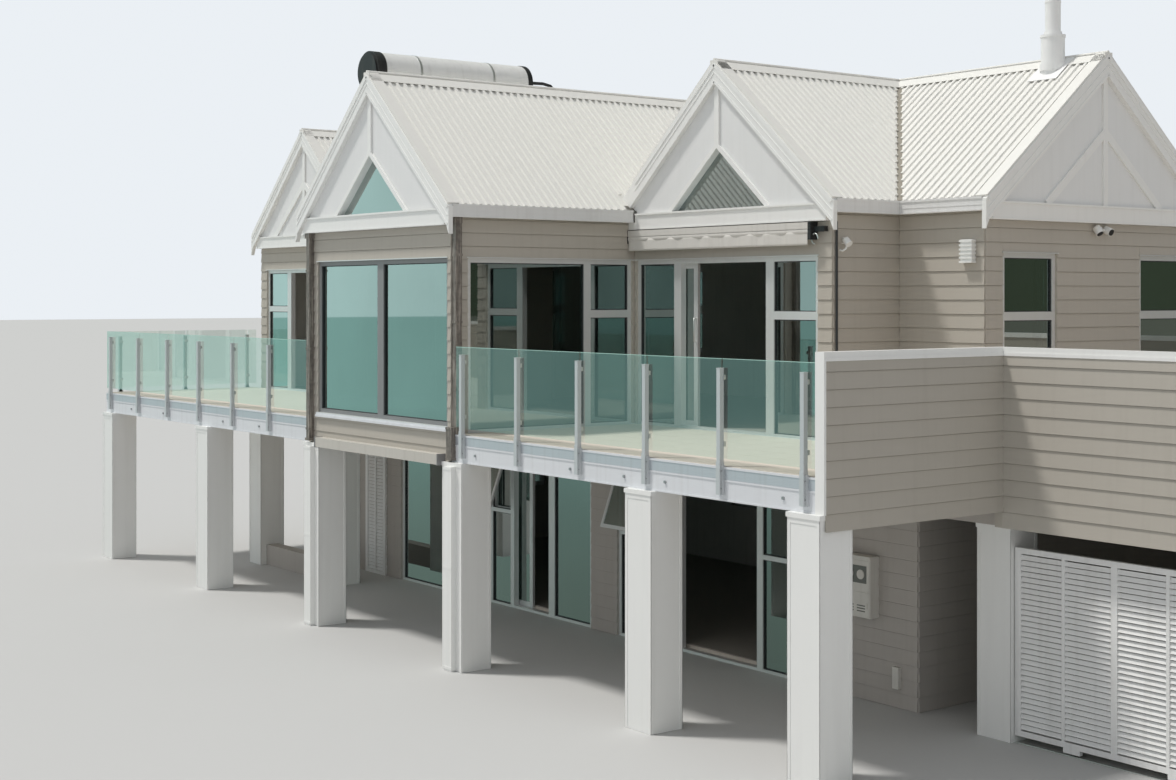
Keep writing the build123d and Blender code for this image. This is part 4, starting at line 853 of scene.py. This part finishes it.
start, wide = awning["left"] + awning["hem"], awning["right"] - awning["left"] - 2 * awning["hem"]
points, flatWidth = [], 0.0
for row in range(down + 1):
    for step in range(across + 1):
        share = step / across
        wave = math.sin(share * awning["folds"] * 2 * math.pi)
        wave += 0.5 * math.sin(share * awning["ripples"] * math.pi + 1.0)
        points.append((start + wide * share, awning["front"] - awning["fold"] * wave,
                       awning["top"] - high * row / down))
        if row == 0 and step:
            flatWidth += math.dist(points[-1], points[-2])
corners = [row * (across + 1) + step for row in range(down) for step in range(across)]
mesh = bpy.data.meshes.new("awningValance")
mesh.from_pydata(points, [], [(k, k + across + 1, k + across + 2, k + 1) for k in corners])
valance = place("awningValance", mesh)
mesh.materials.append(looks["awning_fabric"])
for face in mesh.polygons:
    face.use_smooth = True
solid = valance.modifiers.new("thick", "SOLIDIFY")
solid.thickness = awning["cloth"]
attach(valance, "house")
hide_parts("awning_cloth")
print("awning cut", round(flatWidth, 3), round(high, 3))

# Louvred bulkhead light on the main front wall
bulkhead = {"box": (4.44, 4.60, 3.635, 3.715, 4.80, 5.05), "louvre": (4.43, 4.61, 3.622, 3.7), "bottom": 4.79,
            "pitch": 0.046, "high": 0.022, "count": 6}
levels = [bulkhead["bottom"] + bulkhead["pitch"] * k for k in range(bulkhead["count"])]
rows = [bar(*bulkhead["box"])] + [bar(*bulkhead["louvre"], z, z + bulkhead["high"]) for z in levels]
lights = bars("bulkheadLight", rows, "house", "lamp")
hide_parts("wall_lights")

# Twin floodlight on the end wall, sensor lamps on the corners, their cables, and a dark line down wing 2's
# corner
flood = {"x": 4.79, "y": 5.74, "z": 5.185, "wide": 0.095, "long": 0.09, "lens": 0.078, "lensOut": 0.048,
         "sides": 20}
sideways = (0, math.pi / 2, 0)
rows = [disc((4.74, flood["y"], 5.19), 0.09, 0.036, sideways)]
lenses = []
for shift, turn in ((-0.095, 2.5), (0.095, 2.0)):
    y = flood["y"] + shift
    rows += [disc((flood["x"], y, flood["z"]), flood["wide"], flood["long"], (0, turn, 0)),
             disc((4.765, flood["y"] + shift / 2, 5.195), 0.03, 0.08, flat)]
    lenses.append(disc((flood["x"] + flood["lensOut"] * math.sin(turn), y,
                        flood["z"] + flood["lensOut"] * math.cos(turn)), flood["lens"], 0.01, (0, turn, 0)))
rows += [disc((3.466, 2.785, 5.045), 0.075, 0.016, sideways),
         disc((3.54, 2.785, 5.03), 0.085, 0.08, (0, 2.3, 0)),
         disc((-3.70, -0.2, 5.24), 0.06, 0.05, (0.6, 0, 0))]
discs("floodlights", rows, "lamp", flood["sides"])
# a dark round line down wing 2's front corner, from under the eave to the deck
tubes("cornerDarkLine", [[(3.492, 2.665, 5.26), (3.492, 2.665, 2.80)]], 0.014, "gasket")
discs("floodLenses", lenses, "black_cap", flood["sides"])
cables = [[(3.462, 2.785, 5.045), (3.49, 2.785, 5.075), (3.53, 2.785, 5.06)],
          [(3.535, 2.785, 5.0), (3.53, 2.77, 4.955), (3.50, 2.75, 4.93), (3.472, 2.73, 4.94)],
          [(-3.665, -0.19, 5.255), (-3.69, -0.19, 5.262), (-3.70, -0.195, 5.25)]]
tubes("sensorArm", cables, 0.012, "lamp")

# Meter box: doors, hood and lock, window and slots in painted shade, and two round meters
meter = {"front": 2.485, "door": 0.007, "left": 3.762, "right": 4.158, "dials": (3.88, 4.04), "dialZ": 1.395,
         "slots": (3.81, 3.98), "slotWide": 0.12, "slotHigh": 0.012, "slotPitch": 0.03, "slotBottom": 0.99}
front = meter["front"]
doorDepth = (meter["left"], meter["right"], front - meter["door"], front)
rows = [bar(*doorDepth, 0.94, 1.20), bar(*doorDepth, 1.215, 1.545),
        bar(3.74, 4.18, front - 0.022, 2.6, 1.575, 1.595),
        bar(4.126, 4.136, front - 0.016, front, 1.03, 1.09)]
bars("meterDoors", rows, "house", "grey_box")
slots = [meter["slotBottom"] + meter["slotPitch"] * k for k in range(3)]
# the window and the slots are dark sheets: painted shade of the inside of the box
rows = [bar(3.80, 4.12, front - 0.012, front - 0.006, 1.30, 1.49)]
rows += [bar(x, x + meter["slotWide"], front - 0.009, front - 0.006, z, z + meter["slotHigh"])
         for x in meter["slots"] for z in slots]
bars("meterWindow", rows, "house", "meter_glass")
rows = [disc((x, front - out, meter["dialZ"]), wide, length, flat)
        for out, wide, length in ((0.014, 0.105, 0.012), (0.021, 0.08, 0.006)) for x in meter["dials"]]
discs("meters", rows, "grey_box", 28)
print("fittings")

# Water heater: end caps, straps, hose, collector frames
heater = {"x": -2.39, "z": 7.35, "caps": ((0.095, 0.536, 0.13), (0.02, 0.48, 0.03), (2.435, 0.536, 0.07),
                                          (2.48, 0.46, 0.03)), "straps": (0.69, 1.835), "sides": 40}
rows = [disc((heater["x"], y, heater["z"]), wide, length, flat) for y, wide, length in heater["caps"]]
discs("tankCaps", rows, "black_cap", heater["sides"])
rows = [disc((heater["x"], y, heater["z"]), 0.528, 0.03, flat) for y in heater["straps"]]
discs("tankStraps", rows, "steel", heater["sides"])
hose = [(-2.3, 2.46, 7.38), (-2.28, 2.75, 7.385), (-2.26, 2.86, 7.36), (-2.22, 2.93, 7.27),
        (-2.18, 2.95, 7.0)]
tubes("tankHose", [hose], 0.022, "black_cap")
collector = {"middles": (0.645, 1.855), "half": 0.575, "start": 0.9, "end": 2.5, "edge": 0.02, "wide": 0.04,
             "high": 0.006, "lift": 0.14}
lean = math.atan2(rise, centres[1][1])
normal = (-math.sin(lean), 0, math.cos(lean))


def onCollector(along, y):
    # a place on the left slope of wing 1, so far down from its ridge
    return (centres[1][0] - along * math.cos(lean), y, ridge - along * math.sin(lean))


def addFrame(start, end):
    rows.append(lying(onCollector(*start), onCollector(*end), collector["wide"], collector["high"],
                      collector["lift"], normal))


rows = []
for middle in collector["middles"]:
    low, high = middle - collector["half"], middle + collector["half"]
    for y in (low + collector["edge"], high - collector["edge"]):
        addFrame((collector["start"], y), (collector["end"], y))
    for along in (collector["start"] + collector["edge"], collector["end"] - collector["edge"]):
        addFrame((along, low), (along, high))
bars("collectorFrames", rows, "house", "frame_aluminium")

# Flue: collars and cowl rings as (height, width, length), and the flashing on the roof
flue = {"x": 4.19, "y": 5.59, "rings": ((7.515, 0.296, 0.03), (7.55, 0.21, 0.04), (7.15, 0.31, 0.09),
                                        (7.92, 0.19, 0.014), (8.30, 0.21, 0.02), (8.395, 0.2, 0.014))}
rows = [disc((flue["x"], flue["y"], z), wide, length) for z, wide, length in flue["rings"]]
discs("flueCollars", rows, "flue_white", 32)
rows = [lying((flue["x"], flue["y"] - 0.2, ridge - slopeMain * 0.35),
              (flue["x"], flue["y"] + 0.14, ridge - slopeMain * 0.01), 0.42, 0.006, ribs["high"])]
bars("flueFlashing", rows, "house", "flue_white")

# Downpipes: straps, outlets and the boxed pipes' joints
pipes = {"front": (-3.613, -3.509, -0.241, -0.148), "side": (-0.095, -0.001, -0.153, -0.055),
         "frontEnd": (-3.62, -3.502, -0.248, -0.148), "boot": (-0.133, -0.001, -0.216, -0.148),
         "frontStraps": (2.62, 3.7, 4.75), "sideStraps": (3.3, 4.1, 4.9), "strap": 0.028}
rows = [bar(*pipes["front"], z, z + pipes["strap"]) for z in pipes["frontStraps"]]
rows += [bar(*pipes["frontEnd"], 5.2, 5.27), bar(*pipes["side"], 5.29, 5.36)]
rows += [bar(*pipes["side"], z, z + pipes["strap"]) for z in pipes["sideStraps"]]
rows += [bar(*pipes["boot"], 2.84, 2.866), bar(*pipes["boot"], 2.476, 2.5),
         bar(*pipes["frontEnd"], 2.476, 2.51)]
bars("pipeStraps", rows, "house", "taupe_metal")
rows = [bar(x - 0.09, x + 0.09, -0.276, -0.205, z, z + 0.03) for x in (-3.51, 0.0) for z in (0.02, 1.2, 2.37)]
bars("columnPipeStraps", rows, "house", "white_trim")
print("pipes")

# Backdrop and floor: mirrored rays see a dark land that turns into a teal sea, a painted reflection
backdrop = {"light": (0.49, 0.50, 0.52), "seen": (0.83, 0.87, 0.91), "sea": (0.66, 0.90, 0.88),
            "land": (0.07, 0.09, 0.06), "floorLand": (0.16, 0.17, 0.14), "floorSea": (0.34, 0.58, 0.54),
            "towards": (-0.45, -0.89, 0.0)}


def towardsSea(tree, output, least, most):
    # 0 towards the land, 1 towards the sea
    coords = add(tree, "ShaderNodeTexCoord", {})
    turned = add(tree, "ShaderNodeVectorMath", {0: coords.outputs[output], 1: backdrop["towards"]},
                 operation="DOT_PRODUCT")
    share = add(tree, "ShaderNodeMapRange", {"Value": turned.outputs["Value"], "From Min": least,
                                             "From Max": most})
    return share.outputs["Result"]


world = bpy.data.worlds.new("studio")
world.use_nodes = True
bpy.context.scene.world = world
tree = world.node_tree
rays = add(tree, "ShaderNodeLightPath", {})
# mirrored rays see the painted land and sea instead of the lamp's colour: a painted reflection
mirrored = mixColour(tree, towardsSea(tree, "Generated", -0.3, 0.6), backdrop["land"], backdrop["sea"])
lit = mixColour(tree, rays.outputs["Is Glossy Ray"], backdrop["light"], mirrored)
tree.links.new(mixColour(tree, rays.outputs["Is Camera Ray"], lit, backdrop["seen"]),
               tree.nodes["Background"].inputs["Color"])

reach, drop = 300.0, 0.002  # the floor's half width, and how far it lies under the house
mesh = bpy.data.meshes.new("floorSheet")
mesh.from_pydata([(-reach, -reach, 0), (reach, -reach, 0), (reach, reach, 0), (-reach, reach, 0)], [],
                 [(0, 1, 2, 3)])
sheet = place("floorSheet", mesh)
sheet.location = (0, 0, -drop)
paint = surface("floorPaint", {"colour": (0.55, 0.55, 0.545), "roughness": 0.9, "dull": 0.98, "streak": 0.0})
tree = paint.node_tree
rays = add(tree, "ShaderNodeLightPath", {})
share = towardsSea(tree, "Object", -15.0, 40.0)
# the floor glows in land and sea colours, but only in mirrored rays: a painted reflection
glow = add(tree, "ShaderNodeEmission", {"Color": mixColour(tree, share, backdrop["floorLand"],
                                                           backdrop["floorSea"])})
blend = add(tree, "ShaderNodeMixShader", {0: rays.outputs["Is Glossy Ray"],
                                          1: tree.nodes["Principled BSDF"].outputs[0], 2: glow.outputs[0]})
tree.links.new(blend.outputs[0], tree.nodes["Material Output"].inputs["Surface"])
mesh.materials.append(paint)

# Light and camera, fitted to the photo
sun = bpy.data.lights.new("key", "SUN")
sun.energy = 2.3
sun.color = (1.0, 0.975, 0.93)
sun.angle = math.radians(7)
key = place("key", sun)
key.rotation_euler = Vector((0.37, 0.34, -1.0)).to_track_quat("-Z", "Y").to_euler()

lens = bpy.data.cameras.new("view")
lens.sensor_width = 36.0
lens.lens = 51.734
lens.shift_y = -0.0797
lens.clip_end = 2000.0
camera = place("view", lens)
camera.location = (16.907, -10.985, 4.42)
camera.rotation_euler = (math.pi / 2, 0, math.radians(52.878))
bpy.context.scene.camera = camera
bpy.context.scene.view_settings.view_transform = "Standard"
